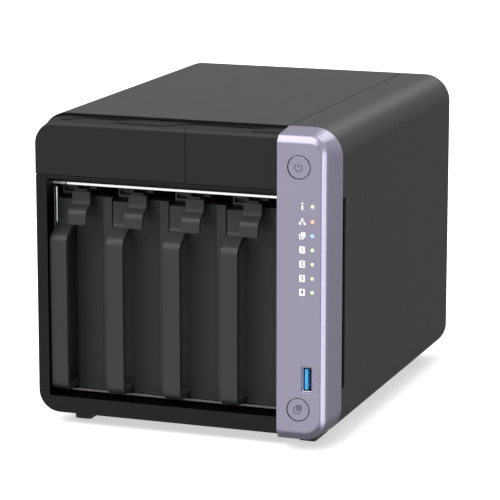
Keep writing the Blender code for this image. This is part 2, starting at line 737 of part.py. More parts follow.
def build_boards():
    back_board_y = (CAGE_BACK + 1.0, CAGE_BACK + 1.0 + BOARD)
    box("backplane_board", (CAGE_X[0] + 3, CAGE_X[1] - 3), back_board_y, (19.0, 128.0), BOARD_GREEN)
    box("main_board", (MAIN_BOARD_X, MAIN_BOARD_X + BOARD), (60.0, 220.8), (18.0, 142.0),
        BOARD_GREEN)
    sink = box("cpu_heatsink", (PORT_X, PORT_X + 16), (112.0, 168.0), (84.0, 132.0), HEATSINK_METAL)
    grooves = [
        ((PORT_X + 3, PORT_X + 20), (105, 175), (87.0 + i * 5.4, 90.6 + i * 5.4)) for i in range(8)
    ]
    cut(sink, boxes("heatsink_cutter", grooves))
    socket_z = (36.0, 43.0)
    socket = box("memory_socket", (PORT_X, PORT_X + 8), (84.0, 156.0), socket_z, CONNECTOR_BLACK)
    cut(socket, box("memory_slot_cutter", (PORT_X + 3.2, PORT_X + 5.2), (86.0, 154.0),
                    (39.0, 50.0)))
    box("memory_module", (PORT_X + 3.6, PORT_X + 4.8), (86.4, 153.6), (39.4, 69.4), BOARD_GREEN)


def blade_ring(radius, chord, pitch, centre_y):
    """A thin blade section at one radius, before it is turned to its own place."""
    half, thick = chord / 2, 0.8
    ring = []
    for along, across in ((-half, -thick), (half, -thick), (half, thick), (-half, thick)):
        u = along * cos(pitch) - across * sin(pitch)
        v = along * sin(pitch) + across * cos(pitch)
        ring.append(Vector((u, v + centre_y, radius)))
    return ring


def crossing_bar(name, y, angle):
    """A flat bar across the fan's bore, turned about the fan's axis."""
    bm = bmesh.new()
    add_box(bm, (FAN_X - 59, FAN_X + 59), (y - 1.5, y + 1.5), (FAN_Z - 2.5, FAN_Z + 2.5))
    bmesh.ops.rotate(bm, verts=bm.verts, cent=point(FAN_X, y, FAN_Z),
                     matrix=Matrix.Rotation(radians(angle), 3, "Y"))
    return add_object(name, bm, None)


def build_fan():
    half = FAN_SIZE / 2
    front, back = FAN_Y
    middle = (front + back) / 2
    corners = [
        (FAN_X - half, FAN_Z - half, 6), (FAN_X + half, FAN_Z - half, 6),
        (FAN_X + half, FAN_Z + half, 6), (FAN_X - half, FAN_Z + half, 6),
    ]
    frame = prism("fan_frame", front_view(rounded(corners, 3), front), (0, back - front, 0),
                  FAN_BLACK)
    cut(frame, rods("fan_bore_cutter", [(FAN_X, middle, FAN_Z)], FAN_BORE_R, 40, segments=48))
    for angle in (45, 135):
        join(frame, crossing_bar(f"fan_strut_{angle}", back - 2.0, angle))
    join(frame, rods("fan_hub_plate", [(FAN_X, back - 2.0, FAN_Z)], 19.0, 3.4, segments=32))

    rotor_bm = bmesh.new()
    add_rod(rotor_bm, (FAN_X, (front + 1.5 + back - 4.6) / 2, FAN_Z), 18.5,
            back - 4.6 - front - 1.5, segments=32)
    rotor = add_object("fan_rotor", rotor_bm, FAN_BLACK, 30)
    blades = bmesh.new()
    spin = point(FAN_X, 0, FAN_Z)
    centre_y = (front + back) / 2 - 1.5 - DEPTH / 2
    for number in range(BLADES):
        turn = Matrix.Rotation(2 * pi * number / BLADES, 3, "Y")
        loops = []
        for radius, chord, pitch in ((16.5, 15, 50), (36, 22, 38), (54.4, 29, 28)):
            ring = blade_ring(radius, chord, radians(pitch), centre_y)
            places = [turn @ (spot * MM) + Vector((spin.x, 0, spin.z)) for spot in ring]
            loops.append([blades.verts.new(place) for place in places])
        for near, far in zip(loops, loops[1:]):
            for i in range(4):
                j = (i + 1) % 4
                blades.faces.new((near[i], near[j], far[j], far[i]))
        blades.faces.new(loops[0])
        blades.faces.new(loops[-1])
    join(rotor, add_object("fan_blades", blades, None))
    set_origin(rotor, point(FAN_X, middle, FAN_Z))


def cross_wire(name, wire, y, angle, material=None):
    bm = bmesh.new()
    add_rod(bm, (FAN_X, y, FAN_Z), wire, 150.0, "X", 8)
    bmesh.ops.rotate(bm, verts=bm.verts, cent=point(FAN_X, y, FAN_Z),
                     matrix=Matrix.Rotation(radians(angle), 3, "Y"))
    return add_object(name, bm, material)


def build_fan_guard():
    """Wire rings on two crossed wires, behind the rear panel."""
    wire = 0.85
    y = DEPTH - wire
    guard = cross_wire("fan_guard", wire, y - 1.1, 45, STEEL)
    join(guard, cross_wire("guard_cross_wire", wire, y - 1.1, 135))
    for radius in (54.0, 42.0, 30.0, 18.0):
        join(guard, ring_wire(f"guard_ring_{radius:.0f}", radius, wire, y))


def ring_wire(name, radius, wire, y):
    """A closed wire ring about the fan's axis, made by turning a small circle."""
    bm = bmesh.new()
    centre = point(FAN_X, y, FAN_Z)
    sides, steps = 6, 28
    circle = bmesh.ops.create_circle(
        bm, segments=sides, radius=wire * MM,
        matrix=Matrix.Translation(centre + Vector((radius * MM, 0, 0))))["verts"]
    edges = {edge for vert in circle for edge in vert.link_edges}
    bmesh.ops.spin(bm, geom=circle + list(edges), cent=centre, axis=(0, 1, 0), angle=2 * pi,
                   steps=steps, use_merge=True, use_duplicate=False)
    bmesh.ops.remove_doubles(bm, verts=bm.verts, dist=0.00001)
    return add_object(name, bm, None)


def build_screws():
    for name, x, z in (("left", -74.0, 156.0), ("right", 74.0, 156.0), ("lower", 74.0, 16.0)):
        bm = bmesh.new()
        add_rod(bm, (x, 224.45, z), 4.4, 2.9, segments=20)
        screw = add_object(f"thumbscrew_{name}", bm, STEEL)
        soften(screw, 0.4)


build_covers()
build_base()
build_rear_panel()
build_rear_ports()
build_reset_button()
build_bezel()
build_fascia()
build_front_panel_parts()
build_feet()
build_cage()
build_trays()
build_boards()
build_fan()
build_fan_guard()
build_screws()
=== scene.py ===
"""Looks of a four-bay desktop network storage unit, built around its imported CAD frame.

Lengths are in millimetres. X runs to the right, Z runs up, and a depth y is measured from the
front face of the control panel towards the back. at() turns them into metres in the row frame.
"""
from math import acos, atan2, ceil, cos, pi, radians, sin, tan

import bmesh
import bpy
from mathutils import Matrix, Vector


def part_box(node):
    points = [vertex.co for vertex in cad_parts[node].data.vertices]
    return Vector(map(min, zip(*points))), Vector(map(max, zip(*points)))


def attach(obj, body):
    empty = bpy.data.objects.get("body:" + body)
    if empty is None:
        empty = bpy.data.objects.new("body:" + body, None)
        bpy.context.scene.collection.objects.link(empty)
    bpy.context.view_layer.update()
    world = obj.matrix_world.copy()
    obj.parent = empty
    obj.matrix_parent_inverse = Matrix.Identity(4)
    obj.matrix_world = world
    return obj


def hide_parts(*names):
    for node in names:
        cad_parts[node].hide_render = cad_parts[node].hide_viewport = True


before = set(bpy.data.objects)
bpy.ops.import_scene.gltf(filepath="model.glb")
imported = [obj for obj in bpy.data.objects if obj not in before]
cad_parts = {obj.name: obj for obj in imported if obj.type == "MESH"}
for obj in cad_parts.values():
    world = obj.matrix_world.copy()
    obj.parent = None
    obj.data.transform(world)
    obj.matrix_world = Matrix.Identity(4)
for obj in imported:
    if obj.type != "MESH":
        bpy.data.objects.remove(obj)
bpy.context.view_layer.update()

MM = 0.001
DEPTH = 226.0
SIDE = 85.0
HEIGHT = 170.0
BODY_BOTTOM = 6.35
TOP_RADIUS = 15.25
BOTTOM_RADIUS = 14.5
GAP = 0.3
NOISE_SPAN = (0.3, 0.7)  # where nearly all values of a noise lie

# Covers and bezel
COVER_Y = (20.0, 223.0)
SHEET = 1.2
SEAM_X = 55.6
SEAM_HALF = 0.25
FLANGE_END = 70.0
SLOT_DEPTH = 4.7
SLOT_Z = (31.2, 133.3)
BEZEL_FRONT = 10.7
BEZEL_RADIUS = 11.8
BEZEL_RIGHT = SEAM_X - GAP
OPENING_X = (-78.6, 52.4)
OPENING_Z = (15.4, 135.2)
PASSAGE_TOP = 132.15
LATCH_LINE = 126.0
FACE_BOTTOM = 17.15
SPLIT_Z = 137.2
SKIRT_BACK = 32.0
PANEL_WINDOW_X = (61.0, 80.0)
PANEL_WINDOW_Z = (22.0, 154.0)

# Fascia
FASCIA_SEAM_X = 0.9
FASCIA_BACK = 19.4
FASCIA_STEP = 1.2
BEVEL_FOOT = 165.39
BEVEL_SLOPE = 0.3117
BEVEL_ROUND = 1.96

# Control panel
PANEL_BACK = 19.7
PANEL_FACE = 0.06
CHAMFER_Y = 2.9
EDGE_INSET = (2.0, 3.0, 0.5)  # top, right and bottom, where the chamfer starts
FACE_INSET = (5.2, 5.1, 4.8)  # top, right and bottom, at the front face
EDGE_RADII = (9.6, 12.0)  # top and bottom corners
FACE_RADII = (6.8, 9.4)
BUTTON_X = 67.5
BUTTON_HOLE = 6.36
BUTTON_RADIUS = 5.88
POWER_Z = 151.9
COPY_Z = 23.6
SYMBOL_X = 69.5
LED_X = 74.85
LED_Z = (131.8, 123.8, 116.4, 109.0, 101.5, 94.0, 86.6)
LED_HOLE = 1.3
USB_X = 72.25
USB_Z = 40.05
USB_MOUTH = (2.3, 6.25)  # half its width and half its length

# Cage and trays
CAGE_X = (-79.9, 53.6)
CAGE_Y = (23.6, 190.0)
CAGE_Z = (15.9, 131.3)
CAGE_SHEET = 1.1
CAGE_LEGS = (-55.0, 30.0)
BAYS = 4
BAY_PITCH = 32.6
FIRST_TRAY_X = -78.3
TRAY_WIDTH = 32.1
TRAY_Z = (17.4, 124.0)
TRAY_WALL_FRONT = 31.5
TRAY_BACK = 187.0
BAR_FRONT = 12.9
HANDLE_WIDTH = 9.6
FACE_TOP = 124.7
NOTCH_X = FIRST_TRAY_X + 5.2
NOTCH_HALF = 0.45

# From a tray's left side
LATCH_TAB = (10.4, 20.8)
PIVOT = (15.6, 34.0, 127.6)
DRIVE_X = (2.9, 29.0)
DRIVE_Y = (36.0, 183.0)
DRIVE_Z = (20.0, 121.6)

# Rear
FAN_X = -13.3
FAN_Z = 78.0
FAN_Y = (196.0, 221.0)
FAN_BORE = 57.5
FAN_HALF = 60.0
FAN_SCREW = 52.5
BLADES = 7
CROSS_ANGLES = (45, 135)
PORT_X = 57.8
PORT_BACK = 223.4
LAN_Z = (126.0, 105.0)
REAR_USB_Z = 84.0
VIDEO_Z = 64.0
RESET_Z = 46.0
DC_Z = 28.0
THUMBSCREWS = {"left": (-74.0, 156.0), "right": (74.0, 156.0), "lower": (74.0, 16.0)}


def at(x, y, z):
    return Vector((x, y - DEPTH / 2, z)) * MM


# Materials

def new_material(name, color, roughness, metallic=0.0, **sockets):
    material = bpy.data.materials.new(name)
    material.use_nodes = True
    shader = material.node_tree.nodes["Principled BSDF"]
    shader.inputs["Base Color"].default_value = (*color, 1.0)
    shader.inputs["Roughness"].default_value = roughness
    shader.inputs["Metallic"].default_value = metallic
    for socket, value in sockets.items():
        shader.inputs[socket.replace("_", " ")].default_value = value
    return material


def feed(material, output, socket):
    """Link an output into the material's shader."""
    shader = material.node_tree.nodes["Principled BSDF"]
    material.node_tree.links.new(output, shader.inputs[socket])


def add_node(owner, kind, links=(), **values):
    """Add a node, set its properties or sockets, and link (output, socket) pairs into it."""
    node = owner.node_tree.nodes.new(kind)
    for name, value in values.items():
        if hasattr(node, name):
            setattr(node, name, value)
        else:
            node.inputs[name.replace("_", " ")].default_value = value
    for output, socket in links:
        owner.node_tree.links.new(output, node.inputs[socket])
    return node


def place_coordinates(material, stretch=(1, 1, 1)):
    """The place on the object in metres, squeezed where a pattern runs in one direction."""
    source = add_node(material, "ShaderNodeTexCoord")
    return add_node(material, "ShaderNodeMapping", [(source.outputs["Object"], "Vector")],
                    Scale=stretch).outputs["Vector"]


def vary_color(material, place, color, spread, size):
    """Slow change of tone over the surface, in patches of about size millimetres."""
    noise = add_node(material, "ShaderNodeTexNoise", [(place, "Vector")],
                     Scale=1 / (size * MM), Detail=4.0, Roughness=0.6)
    ramp = add_node(material, "ShaderNodeValToRGB", [(noise.outputs["Fac"], "Fac")])
    low, high = ramp.color_ramp.elements
    low.position, high.position = NOISE_SPAN
    low.color = (*(c * (1 - spread) for c in color), 1)
    high.color = (*(c * (1 + spread) for c in color), 1)
    feed(material, ramp.outputs["Color"], "Base Color")


def vary_roughness(material, place, roughness, spread, size):
    """Slow change of gloss, in patches of about size millimetres."""
    noise = add_node(material, "ShaderNodeTexNoise", [(place, "Vector")],
                     Scale=1 / (size * MM), Detail=3.0)
    span = add_node(material, "ShaderNodeMapRange", [(noise.outputs["Fac"], "Value")],
                    From_Min=NOISE_SPAN[0], From_Max=NOISE_SPAN[1],
                    To_Min=roughness - spread, To_Max=roughness + spread)
    feed(material, span.outputs["Result"], "Roughness")


def add_grain(material, place, size, depth):
    """Fine relief: grains of about size millimetres and depth millimetres."""
    grain = add_node(material, "ShaderNodeTexNoise", [(place, "Vector")], Scale=1 / (size * MM))
    bump = add_node(material, "ShaderNodeBump", [(grain.outputs["Fac"], "Height")],
                    Strength=1.0, Distance=depth * MM)
    feed(material, bump.outputs["Normal"], "Normal")


def textured(name, color, roughness, metallic=0.0, tone=0.03, patch=14.0, gloss=0.015,
             grain=0.5, relief=0.003, stretch=(1, 1, 1), **sockets):
    """A finished surface: tone and gloss that change slowly, and a fine grain."""
    material = new_material(name, color, roughness, metallic, **sockets)
    place = place_coordinates(material, stretch)
    vary_color(material, place, color, tone, patch)
    vary_roughness(material, place, roughness, gloss, patch * 0.4)
    add_grain(material, place, grain, relief)
    return material


def metallic_paint(name, color, roughness):
    """Lilac paint with fine flakes that catch the light."""
    material = new_material(name, color, roughness, 0.6, Coat_Weight=0.32, Coat_Roughness=0.2)
    place = place_coordinates(material)
    flakes = add_node(material, "ShaderNodeTexVoronoi", [(place, "Vector")], Scale=2600.0)
    tone = add_node(material, "ShaderNodeMapRange", [(flakes.outputs["Distance"], "Value")],
                    From_Min=0.0, From_Max=0.9, To_Min=1.03, To_Max=0.97)
    mixed = add_node(material, "ShaderNodeVectorMath", [(tone.outputs["Result"], 1)],
                     operation="MULTIPLY")
    mixed.inputs[0].default_value = color
    feed(material, mixed.outputs["Vector"], "Base Color")
    vary_roughness(material, place, roughness, 0.02, 8.0)
    add_grain(material, place, 0.35, 0.001)
    return material


def circuit_board(name):
    """Green solder mask with paler tracks and a little relief."""
    material = new_material(name, (0.01, 0.07, 0.035), 0.42)
    place = place_coordinates(material)
    tracks = add_node(material, "ShaderNodeTexBrick", [(place, "Vector")], Scale=160.0,
                      Mortar_Size=0.035, Color1=(0.008, 0.06, 0.03, 1),
                      Color2=(0.012, 0.075, 0.04, 1), Mortar=(0.03, 0.16, 0.07, 1))
    feed(material, tracks.outputs["Color"], "Base Color")
    add_grain(material, place, 1.2, 0.02)
    return material


def glowing(name, color, strength):
    material = new_material(name, color, 0.3, Emission_Strength=strength,
                            Emission_Color=(*color, 1))
    add_grain(material, place_coordinates(material), 0.5, 0.004)
    return material


COVER = textured("cover_paint", (0.038, 0.038, 0.0385), 0.42, relief=0.005,
                 Specular_IOR_Level=0.36)
# Near black: painted shade on the covers' forward-facing cut edges.
COVER_EDGE_SHADE = textured("cover_edge_shade", (0.008, 0.008, 0.008), 0.6, Specular_IOR_Level=0.15)
BEZEL = textured("bezel_plastic", (0.0085, 0.0085, 0.0086), 0.5, Specular_IOR_Level=0.22)
FASCIA = textured("fascia_plastic", (0.0100, 0.0112, 0.0108), 0.58, Specular_IOR_Level=0.36)
# Near black with no gloss: painted shade for grooves, gaps, recesses and the insides of openings.
PAINTED_SHADE = textured("painted_shade", (0.002, 0.002, 0.002), 0.9, Specular_IOR_Level=0.0)
TRAY = textured("tray_plastic", (0.027, 0.0295, 0.029), 0.46, Specular_IOR_Level=0.38)
HANDLE = textured("handle_plastic", (0.041, 0.0455, 0.044), 0.40, grain=0.4,
                  Specular_IOR_Level=0.24)
LILAC = metallic_paint("lilac_paint", (0.365, 0.335, 0.455), 0.31)
ICON = textured("icon_ink", (0.15, 0.132, 0.185), 0.5)
# White print, with a faint painted glow that keeps it white in shade.
PRINT_GLOW = textured("white_print_glow", (0.9, 0.9, 0.92), 0.5, tone=0.02,
                 Emission_Color=(1, 1, 1, 1), Emission_Strength=0.25)
STEEL = textured("plain_steel", (0.55, 0.56, 0.57), 0.34, 1.0, stretch=(1, 0.15, 1), patch=6.0)
# Bright steel with a faint painted glow, so the lips stay bright under the bezel's overhang.
LIP_STEEL_GLOW = textured("lip_painted_glow", (0.97, 0.97, 0.97), 0.3, 1.0, tone=0.01, relief=0.0005,
                     Emission_Color=(1, 1, 1, 1), Emission_Strength=0.16)
EDGE_STEEL = textured("bright_edge", (0.97, 0.97, 0.97), 0.3, 1.0, tone=0.01, relief=0.0005)
PLATED = textured("plated_shell", (0.72, 0.72, 0.71), 0.22, 1.0, relief=0.001)
BRASS = textured("contact_gold", (0.75, 0.55, 0.22), 0.28, 1.0, relief=0.001)
BLUE = textured("blue_tongue", (0.07, 0.46, 0.90), 0.35, tone=0.06, patch=3.0)
# A darker copy of the tongue's blue: painted shade for the tongue's side.
SHADED_BLUE = textured("tongue_blue_shaded", (0.01, 0.16, 0.48), 0.4, tone=0.06, patch=3.0)
# Dark navy: the colour of the contact dots, and painted shade for the socket's lining.
NAVY_AND_SHADE = textured("navy_and_shade", (0.004, 0.02, 0.06), 0.4, tone=0.06, patch=3.0)
BLACK_PLASTIC = textured("connector_plastic", (0.010, 0.010, 0.011), 0.5)
RUBBER = textured("foot_rubber", (0.030, 0.030, 0.030), 0.85, relief=0.02)
BOARD = circuit_board("board")
FIN_METAL = textured("heatsink_metal", (0.55, 0.56, 0.58), 0.36, 1.0, stretch=(1, 0.1, 1))
DRIVE_CAST = textured("drive_metal", (0.50, 0.51, 0.52), 0.42, 1.0, grain=0.3, relief=0.01)
DRIVE_LID = textured("drive_lid", (0.62, 0.63, 0.64), 0.32, 1.0, stretch=(1, 0.08, 1), patch=5.0,
                     relief=0.0008)
FAN_PLASTIC = textured("fan_plastic", (0.010, 0.010, 0.010), 0.42)
CHROME = textured("guard_chrome", (0.75, 0.75, 0.75), 0.14, 1.0, relief=0.001, tone=0.02)
GUIDE = textured("light_guide", (0.62, 0.68, 0.63), 0.2, Transmission_Weight=0.4)
LED_COLORS = ((0.62, 0.80, 0.55), (0.90, 0.55, 0.42), (0.42, 0.68, 0.90), (0.58, 0.80, 0.52))


# Mesh tools

def rounded(corners, steps=6, closed=True):
    """Turn corner points (u, v, radius) into an outline with an arc at each corner."""
    outline = []
    last = len(corners) - 1
    for i, (u, v, radius) in enumerate(corners):
        here = Vector((u, v))
        if radius == 0 or (not closed and i in (0, last)):
            outline.append((u, v))
            continue
        before = (Vector(corners[i - 1][:2]) - here).normalized()
        after = (Vector(corners[(i + 1) % len(corners)][:2]) - here).normalized()
        half = before.angle(after) / 2
        centre = here + (before + after).normalized() * (radius / sin(half))
        start = here + before * (radius / tan(half)) - centre
        stop = here + after * (radius / tan(half)) - centre
        turn = atan2(start.cross(stop), start.dot(stop))
        for step in range(steps + 1):
            spot = centre + Matrix.Rotation(turn * step / steps, 2) @ start
            outline.append((spot.x, spot.y))
    return outline


def strip_outline(path, thickness, steps):
    """Outline of a bent strip: an open path of (u, v, radius), and the same path moved left."""
    inner = []
    last = len(path) - 1
    for i, (u, v, radius) in enumerate(path):
        here = Vector((u, v))
        before = (here - Vector(path[i - 1][:2])).normalized() if i else None
        after = (Vector(path[i + 1][:2]) - here).normalized() if i < last else None
        before, after = before or after, after or before
        sides = [Vector((-way.y, way.x)) for way in (before, after)]
        moved = here + (sides[0] + sides[1]) * (thickness / (1 + sides[0].dot(sides[1])))
        bend = thickness if before.cross(after) < 0 else -thickness
        inner.append((moved.x, moved.y, max(radius + bend, 0.2)))
    return rounded(path, steps, closed=False) + rounded(inner, steps, closed=False)[::-1]


def about(middle, half):
    """The two ends of a span, from its middle and half its width."""
    return middle - half, middle + half


def round_rect(u, v, radius, steps=6):
    """Outline of a rectangle with rounded corners, from its two spans."""
    return rounded([(u[0], v[0], radius), (u[1], v[0], radius),
                    (u[1], v[1], radius), (u[0], v[1], radius)], steps)


def add_prism(bm, places, reach, material=0):
    """Extrude a flat closed outline by a vector in millimetres."""
    face = bm.faces.new([bm.verts.new(place) for place in places])
    face.material_index = material
    grown = bmesh.ops.extrude_face_region(bm, geom=[face])["geom"]
    top = [item for item in grown if isinstance(item, bmesh.types.BMVert)]
    bmesh.ops.translate(bm, verts=top, vec=Vector(reach) * MM)


def add_plate(bm, outline, y, material=0):
    """Extrude an (x, z) outline between two depths."""
    add_prism(bm, [at(u, y[0], v) for u, v in outline], (0, y[1] - y[0], 0), material)


def add_box(bm, x, y, z):
    add_plate(bm, [(x[0], z[0]), (x[1], z[0]), (x[1], z[1]), (x[0], z[1])], y)


def add_side_plate(bm, outline, x, width):
    """Extrude a (y, z) outline to the right from a place in x."""
    add_prism(bm, [at(x, y, z) for y, z in outline], (width, 0, 0))


def add_loft(bm, rings, materials=(), caps=True):
    """Join rings that have the same number of places, each pair in its own material."""
    loops = [[bm.verts.new(place) for place in ring] for ring in rings]
    count = len(loops[0])
    for index, (near, far) in enumerate(zip(loops, loops[1:])):
        for i in range(count):
            j = (i + 1) % count
            face = bm.faces.new((near[i], near[j], far[j], far[i]))
            face.material_index = materials[index] if materials else 0
    if caps:
        for loop, index in ((loops[0], 0), (loops[-1], -1)):
            bm.faces.new(loop).material_index = materials[index] if materials else 0


def add_lathe(bm, profile, centre, axis="Y", steps=48):
    """Turn a profile of (radius, distance along the axis) about a centre, with flat ends."""
    quarter = pi / 2
    turn = Matrix.Rotation(quarter, 3, "Y") if axis == "X" else Matrix.Rotation(-quarter, 3, "X")
    angles = [2 * pi * i / steps for i in range(steps)]
    add_loft(bm, [
        [at(*centre) + turn @ Vector((radius * cos(a), radius * sin(a), along)) * MM
         for a in angles]
        for radius, along in profile])


def add_tube(bm, path, radius, sides, closed=False):
    """A round wire along places in metres."""
    rings = []
    count = len(path)
    for i, here in enumerate(path):
        before = path[i - 1] if closed or i else here
        after = path[(i + 1) % count] if closed or i < count - 1 else here
        way = (after - before).normalized()
        side = way.orthogonal() if abs(way.y) > 0.9 else way.cross(Vector((0, 1, 0))).normalized()
        side.normalize()
        up = way.cross(side)
        angles = [2 * pi * k / sides for k in range(sides)]
        rings.append([here + (side * cos(a) + up * sin(a)) * radius * MM for a in angles])
    if closed:
        rings.append(rings[0])
    add_loft(bm, rings, caps=not closed)
    if closed:
        bmesh.ops.remove_doubles(bm, verts=bm.verts, dist=1e-7)


def mesh_of(add, *shape, **options):
    """A new mesh that holds one shape, made by one of the functions above."""
    bm = bmesh.new()
    add(bm, *shape, **options)
    return bm


def mark_front_edge(bm):
    """Keep the edge material on the faces that look forward, and nowhere else."""
    for face in bm.faces:
        face.normal_update()
        if abs(face.normal.y) < 0.5 or face.calc_center_median().y > 0:
            face.material_index = 0


def smooth_line(points, steps=6):
    """Places on a smooth curve through (u, v) points."""
    ends = [points[0], *points, points[-1]]
    line = []
    for a, b, c, d in zip(ends, ends[1:], ends[2:], ends[3:]):
        for k in range(steps):
            t = k / steps
            line.append(tuple(
                0.5 * (2 * q + (r - p) * t + (2 * p - 5 * q + 4 * r - s) * t * t
                       + (3 * q - p - 3 * r + s) * t ** 3)
                for p, q, r, s in zip(a, b, c, d)))
    return [*line, tuple(points[-1])]


def new_object(name, bm, materials=()):
    bmesh.ops.recalc_face_normals(bm, faces=bm.faces)
    mesh = bpy.data.meshes.new(name)
    bm.to_mesh(mesh)
    bm.free()
    for material in materials:
        mesh.materials.append(material)
    obj = bpy.data.objects.new(name, mesh)
    bpy.context.scene.collection.objects.link(obj)
    return obj


def combine(obj, bm, operation="DIFFERENCE", materials=()):
    """Cut a mesh away from the piece, or join one to it."""
    tool = new_object(f"{obj.name}.tool", bm, materials)
    modifier = obj.modifiers.new("combine", "BOOLEAN")
    modifier.operation = operation
    modifier.solver = "EXACT"
    modifier.object = tool
    if materials:
        modifier.material_mode = "TRANSFER"
    apply_modifiers(obj)
    bpy.data.objects.remove(tool)


def cut(obj, add, *shape, materials=(), **options):
    combine(obj, mesh_of(add, *shape, **options), "DIFFERENCE", materials)


def join(obj, add, *shape, **options):
    combine(obj, mesh_of(add, *shape, **options), "UNION")


def apply_modifiers(obj):
    bpy.context.view_layer.update()
    shown = obj.evaluated_get(bpy.context.evaluated_depsgraph_get())
    mesh = bpy.data.meshes.new_from_object(shown)
    obj.modifiers.clear()
    obj.data = mesh


def soften(obj, width, segments=3, limit=40):
    """Round the sharp edges of a piece."""
    modifier = obj.modifiers.new("edges", "BEVEL")
    modifier.width = width * MM
    modifier.segments = segments
    modifier.limit_method = "ANGLE"
    modifier.angle_limit = radians(limit)
    modifier.use_clamp_overlap = False
    modifier.miter_outer = "MITER_ARC"
    apply_modifiers(obj)


def settle(obj, body, replaces=(), angle=35):
    """Shade the finished piece, and let it ride on its CAD body."""
    obj.data.shade_smooth()
    obj.data.set_sharp_from_angle(angle=radians(angle))
    obj.modifiers.new("even_shading", "WEIGHTED_NORMAL").keep_sharp = True
    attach(obj, body)
    if replaces:
        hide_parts(*replaces)


def make(name, bm, materials, body="root", replaces=(), edge=0.0, segments=3):
    """A piece that needs no cutting."""
    obj = new_object(name, bm, materials)
    if edge:
        soften(obj, edge, segments)
    settle(obj, body, replaces)


# Covers and bezel

def build_cover(name, side, node):
    """A bent sheet. The side is -1 for the left cover and 1 for the right one."""
    path = [
        (side * FLANGE_END, BODY_BOTTOM, 0), (side * SIDE, BODY_BOTTOM, BOTTOM_RADIUS),
        (side * SIDE, HEIGHT, TOP_RADIUS), (SEAM_X + side * SEAM_HALF, HEIGHT, 0),
    ]
    bm = mesh_of(add_plate, strip_outline(path, side * SHEET, 24), COVER_Y, 1)
    # The forward-facing edge faces keep the painted shade.
    mark_front_edge(bm)
    cover = new_object(name, bm, [COVER, COVER_EDGE_SHADE])
    if side > 0:
        front, back, radius = COVER_Y[0] - 2, COVER_Y[0] + SLOT_DEPTH, 1.2
        slot = rounded([(front, SLOT_Z[0], 0), (back, SLOT_Z[0], radius),
                        (back, SLOT_Z[1], radius), (front, SLOT_Z[1], 0)])
        cut(cover, add_side_plate, slot, SIDE - 4, 8)
    soften(cover, 0.18, 2, 50)
    settle(cover, "root", [node])


def build_bezel():
    inset, wall = SHEET + GAP, 1.8
    side, low, high = SIDE - inset, BODY_BOTTOM + inset, HEIGHT - inset
    outer = [
        (-side, low, BOTTOM_RADIUS - inset), (side, low, BOTTOM_RADIUS - inset),
        (side, high, TOP_RADIUS - inset), (-side, high, TOP_RADIUS - inset),
    ]
    bezel = new_object("front_bezel", mesh_of(add_plate, rounded(outer, 12),
                                              (PANEL_BACK, SKIRT_BACK)), [BEZEL])
    hollow = round_rect(about(0, side - wall), (low + wall, high - wall), 11.2, 10)
    cut(bezel, add_plate, hollow, (PANEL_BACK + 2, SKIRT_BACK + 5))
    face = rounded([
        (-SIDE, BODY_BOTTOM, BEZEL_RADIUS), (BEZEL_RIGHT, BODY_BOTTOM, 0),
        (BEZEL_RIGHT, SPLIT_Z, 0), (-SIDE, SPLIT_Z, 0),
    ], 20)
    join(bezel, add_plate, face, (BEZEL_FRONT, PANEL_BACK + 0.5))
    # The lower opening's inner faces are painted shade.
    for span, materials in (
        ((OPENING_Z[0], LATCH_LINE), [PAINTED_SHADE]), ((LATCH_LINE - 4, OPENING_Z[1]), ()),
    ):
        opening = round_rect(OPENING_X, span, 0.8, 4)
        cut(bezel, add_plate, opening, (5, PANEL_BACK), materials=materials)
    # The passage behind the opening is lined with painted shade.
    cut(bezel, add_box, (OPENING_X[0] - 3.0, OPENING_X[1] + 0.9),
        (PANEL_BACK - 0.01, SKIRT_BACK + 5), (OPENING_Z[0], PASSAGE_TOP), materials=[PAINTED_SHADE])
    # Behind the side slot the bezel is cut back, and the cut faces are painted shade.
    cut(bezel, add_box, (side - 0.9, side + 1), (PANEL_BACK + 0.6, SKIRT_BACK - 2),
        (SLOT_Z[0] - 3, SLOT_Z[1] + 3), materials=[PAINTED_SHADE])
    cut(bezel, add_box, PANEL_WINDOW_X, (PANEL_BACK - 4, PANEL_BACK + 6), PANEL_WINDOW_Z)
    soften(bezel, 0.35, 2)
    settle(bezel, "root", ["front_frame"])
    # A near-black strip in the seam between bezel and fascia: painted shade in the gap.
    tongue = mesh_of(add_box, (0.3 - SIDE, BEZEL_RIGHT - 0.6),
                     (BEZEL_FRONT + 0.7, PANEL_BACK - 0.7), (SPLIT_Z - 0.1, SPLIT_Z + 0.35))
    make("seam_shade_strip", tongue, [PAINTED_SHADE])


# Fascia

def bevel_height(y):
    """Height of the fascia's sloping top at a depth."""
    return BEVEL_FOOT + (y - BEZEL_FRONT) * BEVEL_SLOPE


SCOOPS = (
    smooth_line([(-57.0, 18.7), (-52, 18.1), (-46, 17.65), (-40, 17.45), (-36, 18.1), (-33, 19.0),
                 (-30.5, 19.4)]),
    smooth_line([(FASCIA_SEAM_X, 17.95), (14, 17.75), (24, 17.6), (32, 17.35), (38, 17.4),
                 (41.4, 18.2), (43.4, 19.0), (45.5, 19.4)]),
)
LINES = (
    smooth_line([(-71.6, 14.95), (-68.6, 15.25), (-64, 17.1), (-60, 18.2), (-56, 18.9)]),
    smooth_line([(-41.6, 14.8), (-30, 14.75), (-17.4, 14.4), (-13.7, 14.4), (-9.2, 15.4),
                 (-4.5, 17.0), (-1.5, 18.0), (0.8, 18.7)]),
    smooth_line([(36.3, 14.4), (46, 14.4), (56.5, 14.36)]),
)


def back_edge(x):
    """Depth of the fascia's back edge, which two shallow scoops bring forward."""
    for scoop in SCOOPS:
        for (x0, y0), (x1, y1) in zip(scoop, scoop[1:]):
            if x0 <= x < x1:
                return y0 + (y1 - y0) * (x - x0) / (x1 - x0)
    return FASCIA_BACK


